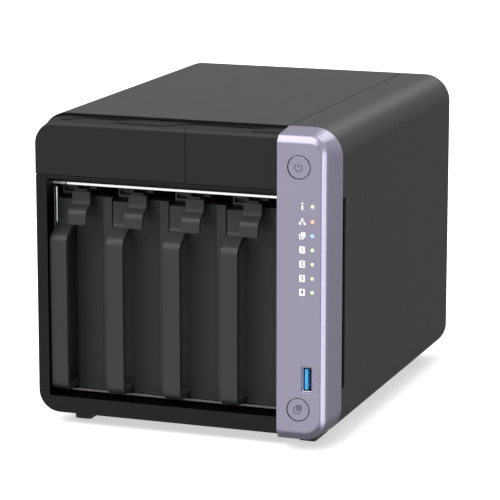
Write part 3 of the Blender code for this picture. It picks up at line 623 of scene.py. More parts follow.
def fascia_ring(ends, depth, height, radius):
    """One outline of a fascia half. Its depth goes by x, and its height by the depth."""
    left, right = ends
    corner = radius if left == -SIDE else 0.0
    start = left + corner
    ring = [(left, SPLIT_Z + GAP)]
    if corner:
        middle = height(depth(start)) - corner
        for step in range(17):
            angle = pi - step / 16 * pi / 2
            ring.append((start + corner * cos(angle), middle + corner * sin(angle)))
    count = ceil((right - left) / FASCIA_STEP)
    for step in range(1 if corner else 0, count + 1):
        x = start + (right - start) * step / count
        ring.append((x, height(depth(x))))
    ring.append((right, SPLIT_Z + GAP))
    return [at(x, depth(x), z) for x, z in ring]


def build_fascia(name, ends, node):
    """A rounded lower edge, a sloping top with scoops, and a step behind them painted dark as
    shade.
    """
    start = acos(BEVEL_SLOPE / (1 + BEVEL_SLOPE ** 2) ** 0.5)
    foot = BEVEL_ROUND * tan(start / 2)
    rings = []
    for step in range(7):
        angle = pi - start * step / 6
        y = BEZEL_FRONT + BEVEL_ROUND + BEVEL_ROUND * cos(angle)
        top = BEVEL_FOOT - foot + BEVEL_ROUND * sin(angle)
        radius = 9.8 + (top - 164.0) * 0.875  # the corner widens higher up
        rings.append(fascia_ring(ends, lambda x: y, lambda depth: top, radius))
    rings.append(fascia_ring(ends, back_edge, bevel_height, 13.2))
    # The step behind the scoops takes the painted shade.
    step_top = bevel_height(17.0) - 1.2
    low = [Vector((p.x, p.y, min(p.z, step_top * MM))) for p in rings[-1]]
    back = [Vector((p.x, at(0, FASCIA_BACK, 0).y, p.z)) for p in low]
    bm = mesh_of(add_loft, [*rings, low, back], [0] * 7 + [1, 1])
    fascia = new_object(name, bm, [FASCIA, PAINTED_SHADE])
    # The grooves' walls take the painted shade, so the grooves read dark.
    for line in LINES:
        if ends[0] < line[0][0] < ends[1]:
            combine(fascia, groove_tool(line, ends[1] + 1), materials=[PAINTED_SHADE, PAINTED_SHADE])
    settle(fascia, "root", [node], angle=28)


def groove_tool(line, limit):
    """A narrow blade that follows a line over the sloping top."""
    half, deep = 0.42, 0.6
    rings = []
    points = [p for p in line if p[0] <= limit]
    for i, (x, y) in enumerate(points):
        ahead = points[min(i + 1, len(points) - 1)]
        behind = points[max(i - 1, 0)]
        way = Vector((ahead[0] - behind[0], ahead[1] - behind[1])).normalized()
        side = Vector((-way.y, way.x)) * half
        z = bevel_height(y)
        rings.append([
            at(x - side.x, y - side.y, z - deep), at(x + side.x, y + side.y, z - deep),
            at(x + side.x, y + side.y, z + deep), at(x - side.x, y - side.y, z + deep),
        ])
    return mesh_of(add_loft, rings)


# Control panel

def blend(first, second, share):
    return [a + (b - a) * share for a, b in zip(first, second)]


def panel_ring(reach, y, grow=0.0, left=SEAM_X, steps=18):
    """The panel's outline. The reach is how far its top side has moved in."""
    edge, face = EDGE_INSET[0], FACE_INSET[0]
    if reach < edge:
        share = reach / edge
        insets = blend((0, 0, 0), EDGE_INSET, share)
        radii = blend((TOP_RADIUS, BOTTOM_RADIUS), EDGE_RADII, share)
    else:
        share = (reach - edge) / (face - edge)
        insets = blend(EDGE_INSET, FACE_INSET, share)
        radii = blend(EDGE_RADII, FACE_RADII, share)
    top, right, bottom = [inset + grow for inset in insets]
    corners = [
        (left, BODY_BOTTOM + bottom, 0),
        (SIDE - right, BODY_BOTTOM + bottom, radii[1] - grow),
        (SIDE - right, HEIGHT - top, radii[0] - grow),
        (left, HEIGHT - top, 0),
    ]
    return [at(x, y, z) for x, z in rounded(corners, steps)]


def build_panel():
    edge, face = EDGE_INSET[0], FACE_INSET[0]
    profile = rounded([
        (0, PANEL_BACK, 0), (edge, CHAMFER_Y, 3.0), (face, PANEL_FACE, 3.0),
        (face + 2, PANEL_FACE, 0),
    ], 8, closed=False)
    bm = mesh_of(add_loft, [panel_ring(reach, y) for reach, y in profile[:-1]])
    panel = new_object("panel_shell", bm, [LILAC])
    left = SEAM_X + 1.8
    cut(panel, add_loft, [
        panel_ring(0, PANEL_BACK + 5, 0.7, left, 10),
        panel_ring(edge, CHAMFER_Y + 1.7, 1.8, left, 10),
        panel_ring(face, 2.4, 1.5, left, 10),
    ])
    through = (-4, 6)
    holes = bmesh.new()
    for z in (POWER_Z, COPY_Z):
        add_lathe(holes, [(BUTTON_HOLE, y) for y in through], (BUTTON_X, 0, z), steps=64)
    for z in LED_Z:
        add_lathe(holes, [(LED_HOLE, y) for y in through], (LED_X, 0, z), steps=24)
    add_loft(holes, [usb_ring(grow, y) for grow, y in
                     ((0.8, -2), (0.8, 0.05), (0.05, 1.5), (0.05, 8))])
    combine(panel, holes)
    soften(panel, 0.16, 2, 60)
    settle(panel, "root", ["control_panel"], angle=30)


def usb_ring(grow, y):
    """The outline of the front socket's mouth, grown all round."""
    width, length = USB_MOUTH
    outline = round_rect((USB_X - width - grow, USB_X + width + grow),
                         (USB_Z - length - grow, USB_Z + length + grow), 0.35, 3)
    return [at(u, y, v) for u, v in outline]


def quarter_turn(steps):
    """Angles from a quarter turn's first step to its end."""
    return [step / steps * pi / 2 for step in range(1, steps + 1)]


def build_button(name, z, body, node):
    stem, flange, rim, top = 2.5, 7.4, BUTTON_RADIUS, 0.37
    profile = [(stem, 10.8), (stem, 4.6), (flange, 4.6), (flange, 2.6), (rim, 2.6), (rim, top)]
    for angle in quarter_turn(5):
        profile.append((5.66 + 0.22 * cos(angle), top - 0.22 * sin(angle)))
    profile += [(4.6, 0.22), (3.2, 0.27), (1.4, 0.29)]
    make(name, mesh_of(add_lathe, profile, (BUTTON_X, 0, z), steps=64), [LILAC], body,
         [node])


def arc_band(centre, radius, width, start, stop, steps):
    """Outline of a flat ring segment between two angles in degrees."""
    outer, inner = [], []
    for step in range(steps + 1):
        angle = radians(start + (stop - start) * step / steps)
        way = Vector((sin(angle), cos(angle)))
        outer.append(tuple(Vector(centre) + way * (radius + width / 2)))
        inner.append(tuple(Vector(centre) + way * (radius - width / 2)))
    return outer + inner[::-1]


def build_icons():
    """Thin inlays on the two round buttons."""
    ink = (0.16, 0.4)
    circle = arc_band((BUTTON_X - 0.35, POWER_Z - 0.15), 1.95, 0.5, 38, 322, 28)
    power = mesh_of(add_plate, circle, ink)
    add_plate(power, round_rect((BUTTON_X - 0.62, BUTTON_X - 0.08),
                                (POWER_Z - 0.25, POWER_Z + 2.15), 0.2, 3), ink)
    make("power_icon", power, [ICON], "power_key")
    x, z = BUTTON_X - 0.25, COPY_Z
    copy = mesh_of(add_plate, round_rect((x - 0.85, x + 2.3), (z - 0.65, z + 2.6), 0.3, 3), ink)
    bracket = ((-1.15, 1.4), (-2.4, 1.4), (-2.4, -2.35), (1.2, -2.35), (1.2, -0.95),
               (0.7, -0.95), (0.7, -1.85), (-1.9, -1.85), (-1.9, 0.9), (-1.15, 0.9))
    add_plate(copy, [(x + u, z + v) for u, v in bracket], ink)
    make("copy_icon", copy, [ICON], "copy_key")


def digit_bmesh(text, x, z, size, y):
    """A plain printed digit, centred on a place."""
    curve = bpy.data.curves.new("digit", "FONT")
    curve.body = text
    curve.size = size * MM
    curve.extrude = 0.008 * MM
    curve.align_x = "CENTER"
    curve.align_y = "CENTER"
    curve.offset = 0.035 * MM
    holder = bpy.data.objects.new("digit", curve)
    bpy.context.scene.collection.objects.link(holder)
    bpy.context.view_layer.update()
    shown = holder.evaluated_get(bpy.context.evaluated_depsgraph_get())
    mesh = bpy.data.meshes.new_from_object(shown)
    bpy.data.objects.remove(holder)
    bm = bmesh.new()
    bm.from_mesh(mesh)
    bmesh.ops.rotate(bm, verts=bm.verts, matrix=Matrix.Rotation(pi / 2, 3, "X"))
    bmesh.ops.translate(bm, verts=bm.verts, vec=at(x, y, z))
    return bm


def build_symbols():
    """White prints beside the lights: generic signs, and one numbered square for each bay."""
    y = (0.02, 0.3)
    x = SYMBOL_X
    z = LED_Z[0]
    bm = mesh_of(add_plate, round_rect(about(x, 0.5), (z - 1.9, z + 0.45), 0.15, 2), y)
    add_plate(bm, round_rect(about(x, 0.5), (z + 0.95, z + 1.95), 0.35, 4), y)
    z = LED_Z[1]
    for u, v in ((0, 1.05), (-1.25, -1.05), (1.25, -1.05)):
        add_plate(bm, round_rect(about(x + u, 0.62), about(z + v, 0.6), 0.3, 4), y)
    add_box(bm, about(x, 1.3), (0.03, 0.29), (z - 0.2, z + 0.12))
    z = LED_Z[2]
    add_plate(bm, round_rect((x - 0.55, x + 1.7), (z - 0.9, z + 1.85), 0.3, 3), y)
    bracket = ((-0.85, 0.95), (-1.7, 0.95), (-1.7, -1.85), (0.85, -1.85), (0.85, -1.25),
               (-1.05, -1.25), (-1.05, 0.3), (-0.85, 0.3))
    add_plate(bm, [(x + u, z + v) for u, v in bracket], y)
    make("panel_symbols", bm, [PRINT_GLOW])
    for number, z in enumerate(LED_Z[3:], 1):
        tile = round_rect(about(x, 1.55), about(z, 1.85), 0.45, 4)
        make(f"bay_tile_{number}", mesh_of(add_plate, tile, y), [PRINT_GLOW])
        make(f"bay_digit_{number}", digit_bmesh(str(number), x, z, 3.4, 0.012), [ICON])


def build_lights():
    """The light guide, and a domed lamp in each of the panel's small holes."""
    guide = mesh_of(add_box, about(LED_X, 2.0), (2.4, 5.6), (LED_Z[-1] - 3, LED_Z[0] + 3))
    make("light_bar", guide, [GUIDE], "root", ["light_guide"], edge=0.3)
    for number, z in enumerate(LED_Z, 1):
        profile = [(1.2, 2.3), (1.2, 0.5)]
        for angle in quarter_turn(4):
            profile.append((1.15 * cos(angle) + 0.05, 0.5 - 0.42 * sin(angle)))
        lamp = glowing(f"lamp_{number}", LED_COLORS[min(number, len(LED_COLORS)) - 1], 0.35)
        make(f"status_light_{number}", mesh_of(add_lathe, profile, (LED_X, 0, z), steps=24),
             [lamp], "root")


def build_front_usb():
    """The plated shell, its lining painted navy as shade, and the blue tongue with its contacts
    and a darker blue block painted as the tongue's shaded side.
    """
    shell = mesh_of(add_loft, [usb_ring(grow, y) for grow, y in (
        (0.0, 11.0), (0.0, 1.35), (0.12, 1.2), (0.3, 1.2), (0.3, 11.6))], caps=False)
    add_box(shell, about(USB_X, 2.7), (10.6, 11.8), about(USB_Z, 6.6))
    make("usb_shell", shell, [PLATED], "root", ["front_usb_socket"])
    # A navy sleeve inside the shell: painted shade for the socket's interior.
    lining = mesh_of(add_loft, [usb_ring(grow, y) for grow, y in (
        (-0.05, 10.5), (-0.05, 1.6), (-0.25, 1.6), (-0.25, 10.5))], caps=False)
    add_box(lining, about(USB_X, 2.2), (9.4, 10.4), about(USB_Z, 6.2))
    make("usb_shade_lining", lining, [NAVY_AND_SHADE])
    left = USB_X - 1.5
    tongue = mesh_of(add_box, (left, left + 1.95), (1.3, 10.2), about(USB_Z, 5.5))
    make("usb_tongue", tongue, [BLUE], edge=0.25)
    # A block in the darker blue beside the tongue: painted shade for the tongue's side.
    block = mesh_of(add_box, (left + 2.0, left + 2.7), (2.4, 10.2), about(USB_Z, 5.3))
    make("usb_shaded_block", block, [SHADED_BLUE], edge=0.15)
    contacts = bmesh.new()
    for step in range(5):
        z = USB_Z + (step - 2) * 2.1
        add_box(contacts, (left + 1.9, left + 2.4), (1.25, 4.2), about(z, 0.45))
    make("usb_contacts", contacts, [NAVY_AND_SHADE], edge=0.12, segments=2)


# Cage and trays

def build_cage():
    bm = mesh_of(add_plate, round_rect(CAGE_X, CAGE_Z, 1.6, 5), CAGE_Y, 1)
    mark_front_edge(bm)
    cage = new_object("cage_shell", bm, [STEEL, EDGE_STEEL])
    sheet = CAGE_SHEET
    inner = round_rect((CAGE_X[0] + sheet, CAGE_X[1] - sheet),
                       (CAGE_Z[0] + sheet, CAGE_Z[1] - sheet), 0.6, 4)
    cut(cage, add_plate, inner, (CAGE_Y[0] - 5, CAGE_Y[1] + 5))
    windows = bmesh.new()
    for bay in range(BAYS):
        x = FIRST_TRAY_X + bay * BAY_PITCH
        add_box(windows, (x + 13.0, x + 18.2), (27.4, 31.4), about(CAGE_Z[1], 4))
    for column in range(5):
        for row in range(3):
            y, z = 60 + column * 24.0, 42 + row * 24.0
            square = [(y + u, z + v) for u, v in round_rect((0, 14), (0, 14), 3)]
            add_side_plate(windows, square, CAGE_X[0] - 3, 6)
    combine(cage, windows)
    for x in CAGE_LEGS:
        join(cage, add_box, (x, x + 1.2), (CAGE_Y[0] + 16, CAGE_Y[1] - 10),
             (BODY_BOTTOM + SHEET + GAP, CAGE_Z[0] + sheet / 2))
    cut(cage, add_box, about(NOTCH_X, NOTCH_HALF), (CAGE_Y[0] - 3, CAGE_Y[0] + 2.5),
        about(CAGE_Z[1], 4))
    settle(cage, "root", ["drive_cage"])
    build_cage_lips()


def build_cage_lips():
    """The rolled front edges of the cage: a bright one on top and a narrow one on the left, both
    with a faint painted glow.
    """
    front, edge = CAGE_Y[0] - 0.05, CAGE_X[0]
    lips = bmesh.new()
    for span in ((-81.3, NOTCH_X - NOTCH_HALF), (NOTCH_X + NOTCH_HALF, CAGE_X[1])):
        add_plate(lips, round_rect(span, (130.25, 131.5), 0.3, 3), (front, front + 1.1))
    section = [(edge, front), (edge + 1.5, front + 0.48), (edge + 1.5, front + 1.0),
               (edge, front + 1.0)]
    low, high = CAGE_Z[0] + 2, 128.4
    add_prism(lips, [at(x, y, low) for x, y in section], (0, 0, high - low))
    make("cage_lips", lips, [LIP_STEEL_GLOW], edge=0.08, segments=2)


def face_outline(x):
    """The tray face seen from above: a shallow dish that ends in a flat margin."""
    left, margin, right = x + HANDLE_WIDTH + GAP, x + 26.2, x + TRAY_WIDTH
    front, back = CAGE_Y[0], TRAY_WALL_FRONT - GAP
    dish = []
    for step in range(25):
        t = step / 24
        dish.append((left + (margin - left) * t, front + 0.5 + 2.6 * (1 - t * t)))
    return dish + [(margin + 0.35, front + 0.05), (margin + 0.9, front), (right - 0.25, front),
                   (right, front + 0.25), (right, back), (left, back)]


def build_tray_face(number, x, body):
    places = [at(u, v, FACE_BOTTOM) for u, v in face_outline(x)]
    bm = mesh_of(add_prism, places, (0, 0, FACE_TOP - FACE_BOTTOM))
    make(f"tray_panel_{number}", bm, [TRAY], body, [f"tray_face_{number}"],
         edge=0.3, segments=2)


def build_handle(number, x, body):
    """A cranked bar that stands ahead of the tray face."""
    back, top, bottom = TRAY_WALL_FRONT - GAP, 122.6, 17.9
    path = [
        (back, top, 0), (CAGE_Y[0], top, 1.0), (CAGE_Y[0], 109.4, 3.6),
        (BAR_FRONT, 102.9, 5.5), (BAR_FRONT, bottom, 5.0), (back, bottom, 0),
    ]
    bm = mesh_of(add_side_plate, strip_outline(path, 3.0, 7), x, HANDLE_WIDTH)
    make(f"handle_bar_{number}", bm, [HANDLE], body, [f"tray_handle_{number}"],
         edge=0.3, segments=2)


def build_latch(number, x, body):
    """A curved thumb tab with rounded corners, and its arm, hub, pin and tooth."""
    left, right, bottom = x + LATCH_TAB[0], x + LATCH_TAB[1], 110.2
    path = [(20.0, 127.4, 0), (20.0, 121.0, 3.2), (13.7, 117.6, 4.2), (13.9, bottom, 0)]
    bm = mesh_of(add_side_plate, strip_outline(path, 2.2, 7), left, LATCH_TAB[1] - LATCH_TAB[0])
    latch = new_object(f"latch_tab_{number}", bm, [HANDLE])
    outline = [(left, 140, 0), (left, bottom, 1.4), (right, bottom, 1.4), (right, 140, 0)]
    combine(latch, mesh_of(add_plate, rounded(outline, 5), (5, 40)), "INTERSECT")
    soften(latch, 0.3, 2)
    u, y, z = x + PIVOT[0], PIVOT[1], PIVOT[2]
    join(latch, add_box, (x + 12.6, x + 18.6), (21.0, y + 0.2), (z - 1.2, z + 0.9))
    for radius, half, steps in ((1.5, 3.0, 24), (0.8, 4.7, 16)):
        join(latch, add_lathe, [(radius, -half), (radius, half)], (u, y, z), "X", steps)
    tooth = [(28.0, z), (30.4, z), (30.4, 129.9), (29.2, 129.9), (28.0, 128.9)]
    join(latch, add_side_plate, tooth, x + 13.6, 4.0)
    settle(latch, body, [f"tray_latch_{number}"])


def build_carrier(number, x, body):
    """The tray's frame round the drive, with side windows and the latch's housing on top."""
    low, high = TRAY_Z
    front = CAGE_Y[0] - 2
    bm = mesh_of(add_box, (x, x + TRAY_WIDTH), (TRAY_WALL_FRONT, TRAY_BACK), TRAY_Z)
    carrier = new_object(f"carrier_body_{number}", bm, [TRAY])
    cut(carrier, add_box, (x + 2.0, x + TRAY_WIDTH + 5), (TRAY_WALL_FRONT + 2.5, 200),
        (low + 2.2, high - 2.0))
    windows = bmesh.new()
    for y in (52, 114):
        window = [(y + u, 36 + v) for u, v in round_rect((0, 52), (0, 70), 5)]
        add_side_plate(windows, window, x - 5, 15)
    combine(carrier, windows)
    join(carrier, add_box, (x + 3.1, x + 23.0), (24.2, 38.0), (122.9, 129.7))
    cut(carrier, add_box, (x - 1, x + 26), (front, TRAY_WALL_FRONT), (119.9, 125.3))
    cut(carrier, add_box, (x + 12.2, x + 19.0), (front, 36.4), (124.6, 132.7))
    pivot = (x + PIVOT[0], PIVOT[1], PIVOT[2])
    cut(carrier, add_lathe, [(1.1, -5.5), (1.1, 5.5)], pivot, "X", 24)
    cut(carrier, add_box, (x + 4.2, x + 9.9), (front, 27.2), (126.6, 128.9))
    slope = [(front, 128.3), (24.4, 128.3), (31.0, 124.8), (31.0, 124.0), (front, 124.0)]
    cut(carrier, add_side_plate, slope, x + 19.2, 8.0)
    soften(carrier, 0.22, 2)
    settle(carrier, body, [f"tray_carrier_{number}"])


def build_drive(number, x, body):
    """A cast base with a raised lid, screws in the lid, and a board on the other side."""
    left, right = x + DRIVE_X[0], x + DRIVE_X[1]
    (y0, y1), (z0, z1) = DRIVE_Y, DRIVE_Z
    base = round_rect(DRIVE_Y, DRIVE_Z, 2.5, 5)
    make(f"drive_base_{number}", mesh_of(add_side_plate, base, left + 1.6, right - left - 3.0),
         [DRIVE_CAST], body, [f"hard_drive_{number}"], edge=0.6)
    inner = round_rect((y0 + 3, y1 - 22), (z0 + 3, z1 - 3), 6)
    rise = round_rect((y0 + 10, y1 - 34), (z0 + 12, z1 - 12), 9)
    lid = mesh_of(add_side_plate, inner, right - 1.5, 1.2)
    add_side_plate(lid, rise, right - 0.4, 0.35)
    make(f"drive_lid_{number}", lid, [DRIVE_LID], body, edge=0.25, segments=2)
    head = [(1.9, -0.2), (1.9, 0.12), (1.6, 0.3), (0.9, 0.3), (0.8, -0.1)]
    screws = bmesh.new()
    for y in (y0 + 7, (y0 + y1) / 2 - 9, y1 - 26):
        for z in (z0 + 7, z1 - 7):
            add_lathe(screws, head, (right - 0.35, y, z), "X", 18)
    make(f"drive_screws_{number}", screws, [CHROME], body)
    card = rounded([(y1 - 60, z0 + 6, 3), (y1 - 1, z0 + 6, 1), (y1 - 1, z1 - 6, 1),
                    (y1 - 60, z1 - 6, 3)])
    make(f"drive_card_{number}", mesh_of(add_side_plate, card, left + 0.3, 1.4), [BOARD], body,
         edge=0.1, segments=1)


def build_trays():
    for number in range(1, BAYS + 1):
        x = FIRST_TRAY_X + (number - 1) * BAY_PITCH
        body = f"tray_{number}"
        build_carrier(number, x, body)
        build_tray_face(number, x, body)
        build_handle(number, x, body)
        build_latch(number, x, f"latch_{number}")
        build_drive(number, x, body)


# Rear and underside

def build_feet():
    for row in ("front", "rear"):
        for side in ("left", "right"):
            node = f"foot_{row}_{side}"
            low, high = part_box(node)
            x = (low.x / MM, high.x / MM)
            y = (low.y / MM + DEPTH / 2, high.y / MM + DEPTH / 2)
            top = high.z / MM
            rings = []
            for inset, z in ((0.5, 0.0), (0.15, 0.15), (0.0, 0.5), (0.0, top - 0.4), (0.3, top)):
                outline = round_rect((x[0] + inset, x[1] - inset), (y[0] + inset, y[1] - inset),
                                     1.2, 4)
                rings.append([at(u, v, z) for u, v in outline])
            make(f"rubber_{node}", mesh_of(add_loft, rings), [RUBBER], "root",
                 [node])


def build_fan():
    """The fan's square frame, with screw holes, two struts and a motor plate."""
    outline = round_rect(about(FAN_X, FAN_HALF), about(FAN_Z, FAN_HALF), 6)
    shell = new_object("fan_shell", mesh_of(add_plate, outline, FAN_Y), [FAN_PLASTIC])
    middle, mouth = sum(FAN_Y) / 2, FAN_BORE + 1.2
    bore = [(mouth, -14), (FAN_BORE, -10), (FAN_BORE, 10), (mouth, 14)]
    holes = mesh_of(add_lathe, bore, (FAN_X, middle, FAN_Z), steps=96)
    for x in about(FAN_X, FAN_SCREW):
        for z in about(FAN_Z, FAN_SCREW):
            add_lathe(holes, [(2.2, -20), (2.2, 20)], (x, middle, z), steps=20)
    combine(shell, holes)
    y = FAN_Y[1] - 2.0
    for angle in CROSS_ANGLES:
        strut = mesh_of(add_box, about(FAN_X, 59), about(y, 1.5), about(FAN_Z, 2.5))
        bmesh.ops.rotate(strut, verts=strut.verts, cent=at(FAN_X, y, FAN_Z),
                         matrix=Matrix.Rotation(radians(angle), 3, "Y"))
        combine(shell, strut, "UNION")
    join(shell, add_lathe, [(19.0, -3.4), (19.0, -0.3)], (FAN_X, FAN_Y[1], FAN_Z))
    soften(shell, 0.4, 2)
    settle(shell, "root", ["fan_frame"])


def build_rotor():
    """A hub with twisted blades, each a loft through sections that grow outwards."""
    front, back = FAN_Y
    bore, rim, end = 4.0, 18.5, back - front - 4.6
    hub = [(bore, 1.5), (15.5, 1.5), (17.6, 2.3), (rim, 4.0), (rim, end), (bore, end)]
    bm = mesh_of(add_lathe, hub, (FAN_X, front, FAN_Z), steps=64)
    centre = at(FAN_X, (front + back) / 2 - 1.5, FAN_Z)
    stations = [(17.8, 15.0, 50), (24, 17.5, 46), (32, 20.5, 41), (40, 23.5, 36.5), (48, 26.5, 32),
                (54.2, 28.8, 28.2)]
    section = [(-0.5, 0), (-0.3, 0.75), (0, 0.95), (0.3, 0.7), (0.5, 0), (0.3, -0.45),
               (0, -0.35), (-0.3, -0.5)]
    for blade in range(BLADES):
        turn = Matrix.Rotation(2 * pi * blade / BLADES, 3, "Y")
        rings = []
        for radius, chord, pitch in stations:
            ring = []
            for along, across in section:
                sweep = (along * chord) / radius * cos(radians(pitch))
                lift = across * 1.1 + along * chord * sin(radians(pitch)) * 0.55
                ring.append(turn @ Vector((radius * sin(sweep), lift, radius * cos(sweep))) * MM
                            + centre)
            rings.append(ring)
        add_loft(bm, rings)
    make("fan_wheel", bm, [FAN_PLASTIC], "rotor", ["fan_rotor"])


def build_guard():
    """Round wires, and two straight ones that end in flat washers."""
    bm = bmesh.new()
    wire, reach = 0.8, 74.0
    y = DEPTH - 0.86
    for radius in (54.0, 42.0, 30.0, 18.0):
        path = [at(FAN_X + radius * cos(a), y, FAN_Z + radius * sin(a))
                for a in (2 * pi * k / 72 for k in range(72))]
        add_tube(bm, path, wire, 10, closed=True)
    for angle in CROSS_ANGLES:
        way = Vector((cos(radians(angle)), 0, sin(radians(angle))))
        centre = at(FAN_X, y - 1.2, FAN_Z)
        add_tube(bm, [centre + way * MM * s for s in (-reach, -40.0, 0.0, 40.0, reach)], wire, 10)
        for end in (-reach - 0.2, reach + 0.2):
            spot = way * end
            add_lathe(bm, [(3.2, -0.6), (3.6, -0.3), (3.6, 0.5), (3.0, 0.8)],
                      (FAN_X + spot.x, y - 1.1, FAN_Z + spot.z), steps=24)
    make("guard_wires", bm, [CHROME], "root", ["fan_guard"])


def build_thumbscrew(name, x, z):
    """A thumbscrew: a ribbed edge round a domed head with a cross in it."""
    steps, ribs, widest = 72, 24, 4.3
    rings = []
    for radius, y in ((3.9, 223.05), (widest, 223.3), (widest, 225.3), (3.9, 225.75),
                      (2.9, 225.85)):
        ring = []
        for i in range(steps):
            angle = 2 * pi * i / steps
            ribbed = radius + (0.12 * cos(angle * ribs) if radius == widest else 0)
            ring.append(at(x + ribbed * cos(angle), y, z + ribbed * sin(angle)))
        rings.append(ring)
    head = new_object(f"screw_{name}", mesh_of(add_loft, rings), [CHROME])
    for width, height in ((2.2, 0.45), (0.45, 2.2)):
        cut(head, add_box, about(x, width), (225.0, 228.0), about(z, height))
    settle(head, "root", [f"thumbscrew_{name}"])


def add_shell(bm, x, y, z, wall, radius=0.6):
    """A rectangular tube, open towards the back, for a socket's metal shell."""
    near, far = y
    bend = 0.15

    def ring(inset, depth, corner):
        outline = round_rect((x[0] + inset, x[1] - inset), (z[0] + inset, z[1] - inset), corner, 4)
        return [at(u, depth, v) for u, v in outline]

    inner = max(radius - wall, 0.2)
    add_loft(bm, [
        ring(0, near, radius), ring(0, far - bend, radius), ring(bend, far, radius),
        ring(wall, far, inner), ring(wall, near + wall, inner),
    ])


def build_lan(number, z):
    deep = (PORT_BACK - 14, PORT_BACK + 2)
    bm = mesh_of(add_box, (PORT_X, PORT_X + 13.6), (PORT_BACK - 21, PORT_BACK), about(z, 8))
    shell = new_object(f"lan_shell_{number}", bm, [PLATED, BLACK_PLASTIC])
    for left, right, half in ((1.2, 9.2, 5.9), (8.0, 12.2, 3)):
        cut(shell, add_box, (PORT_X + left, PORT_X + right), deep, about(z, half),
            materials=[BLACK_PLASTIC, BLACK_PLASTIC])
    soften(shell, 0.2, 2)
    settle(shell, "root", [f"lan_socket_{number}"])
    pins = bmesh.new()
    for step in range(8):
        w = z + (step - 3.5) * 1.02
        add_tube(pins, [at(PORT_X + x, PORT_BACK - y, w) for x, y in
                        ((1.5, 3), (3.2, 8), (3.8, 13.9))], 0.18, 6)
    make(f"lan_pins_{number}", pins, [BRASS])


def build_rear_usb():
    shells, tongues = bmesh.new(), bmesh.new()
    for left in (PORT_X + 1.2, PORT_X + 8.5):
        add_shell(shells, (left, left + 5.9), (PORT_BACK - 16.5, PORT_BACK),
                  about(REAR_USB_Z, 6.65), 0.4)
        add_box(tongues, (left + 1.2, left + 3.0), (PORT_BACK - 15.8, PORT_BACK - 1),
                about(REAR_USB_Z, 5.4))
    add_box(shells, (PORT_X, PORT_X + 15.6), (PORT_BACK - 17, PORT_BACK - 16.2),
            about(REAR_USB_Z, 7.2))
    make("rear_usb_shell", shells, [PLATED], "root", ["rear_usb_socket"])
    make("rear_usb_tongues", tongues, [BLUE], edge=0.15, segments=2)


def build_video_port():
    x, z = PORT_X, VIDEO_Z - 7.45
    outer = [(x + u, z + v) for u, v in
             ((0.2, 0), (3.4, 0), (5.5, 0.9), (5.5, 14.0), (3.4, 14.9), (0.2, 14.9))]
    centre = Vector((x + 2.9, VIDEO_Z))
    inner = [tuple(centre + (Vector(p) - centre) * 0.87) for p in outer]
    shell = mesh_of(add_loft, [
        [at(u, PORT_BACK - depth, v) for u, v in outline]
        for outline, depth in ((outer, 12), (outer, 0), (inner, 0), (inner, 9))])
    make("video_shell", shell, [PLATED], "root", ["video_socket"])
    bar = mesh_of(add_box, (x + 2.4, x + 3.4), (PORT_BACK - 9.5, PORT_BACK - 1),
                  about(VIDEO_Z, 5.6))
    make("video_bar", bar, [BLACK_PLASTIC], edge=0.1, segments=1)


def build_inlet():
    centre = (PORT_X + 5.5, PORT_BACK, DC_Z)
    bm = mesh_of(add_box, (PORT_X, PORT_X + 11.0), (PORT_BACK - 14, PORT_BACK), about(DC_Z, 4.5))
    inlet = new_object("power_inlet", bm, [BLACK_PLASTIC])
    bore = [(3.2, -10), (3.2, -0.5), (3.7, 0.5)]
    cut(inlet, add_lathe, bore, centre, steps=32)
    soften(inlet, 0.3, 2)
    settle(inlet, "root", ["dc_inlet"])
    pin = [(1.1, -10.5), (1.1, -2.0), (0.7, -1.5)]
    make("inlet_pin", mesh_of(add_lathe, pin, centre, steps=24), [CHROME])


def build_reset():
    profile = [(2.6, -4.4), (2.6, -1.8), (1.0, -1.8), (1.0, 2.2), (0.8, 2.4)]
    reset = mesh_of(add_lathe, profile, (PORT_X + 6, 220.0, RESET_Z), steps=32)
    make("reset_pin", reset, [BLACK_PLASTIC], "reset_key", ["reset_button"])


def finish_cad_nodes():
    """CAD nodes whose shape is right keep it, and get a finished material."""
    finishes = {
        "base_plate": STEEL, "rear_panel": STEEL, "front_io_board": BOARD,
        "backplane_board": BOARD, "main_board": BOARD, "memory_module": BOARD,
        "cpu_heatsink": FIN_METAL, "memory_socket": BLACK_PLASTIC,
    }
    finishes.update({f"sata_connector_{n}": BLACK_PLASTIC for n in range(1, BAYS + 1)})
    for node, material in finishes.items():
        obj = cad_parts[node]
        obj.data.materials.clear()
        obj.data.materials.append(material)


# Studio

def build_floor():
    """A pale sheet that curves up far from the object. No light bounces off it."""
    angles = [2 * pi * k / 96 for k in range(96)]
    bm = mesh_of(add_loft, [
        [Vector((radius * cos(a), radius * sin(a), z)) for a in angles]
        for radius, z in ((6.0, 2.4), (5.6, 0.9), (5.0, 0.25), (4.2, 0.02), (3.6, 0.0), (0.0, 0.0))
    ], caps=False)
    bmesh.ops.remove_doubles(bm, verts=bm.verts, dist=1e-7)
    paper = textured("floor_paper", (0.9, 0.9, 0.9), 0.7, tone=0.01, patch=300.0, gloss=0.02,
                     Emission_Color=(1, 1, 1, 1), Emission_Strength=0.5)
    floor = new_object("studio_floor", bm, [paper])
    floor.data.shade_smooth()
    floor.visible_diffuse = False
    floor.visible_glossy = False


def add_sun(name, towards, angle, strength):
    """A very large, distant softbox, given by the direction from the object to it."""
    data = bpy.data.lights.new(name, "SUN")
    data.angle = radians(angle)
    data.energy = strength
    light = bpy.data.objects.new(name, data)
    bpy.context.scene.collection.objects.link(light)
    light.rotation_euler = Vector(towards).to_track_quat("Z", "Y").to_euler()


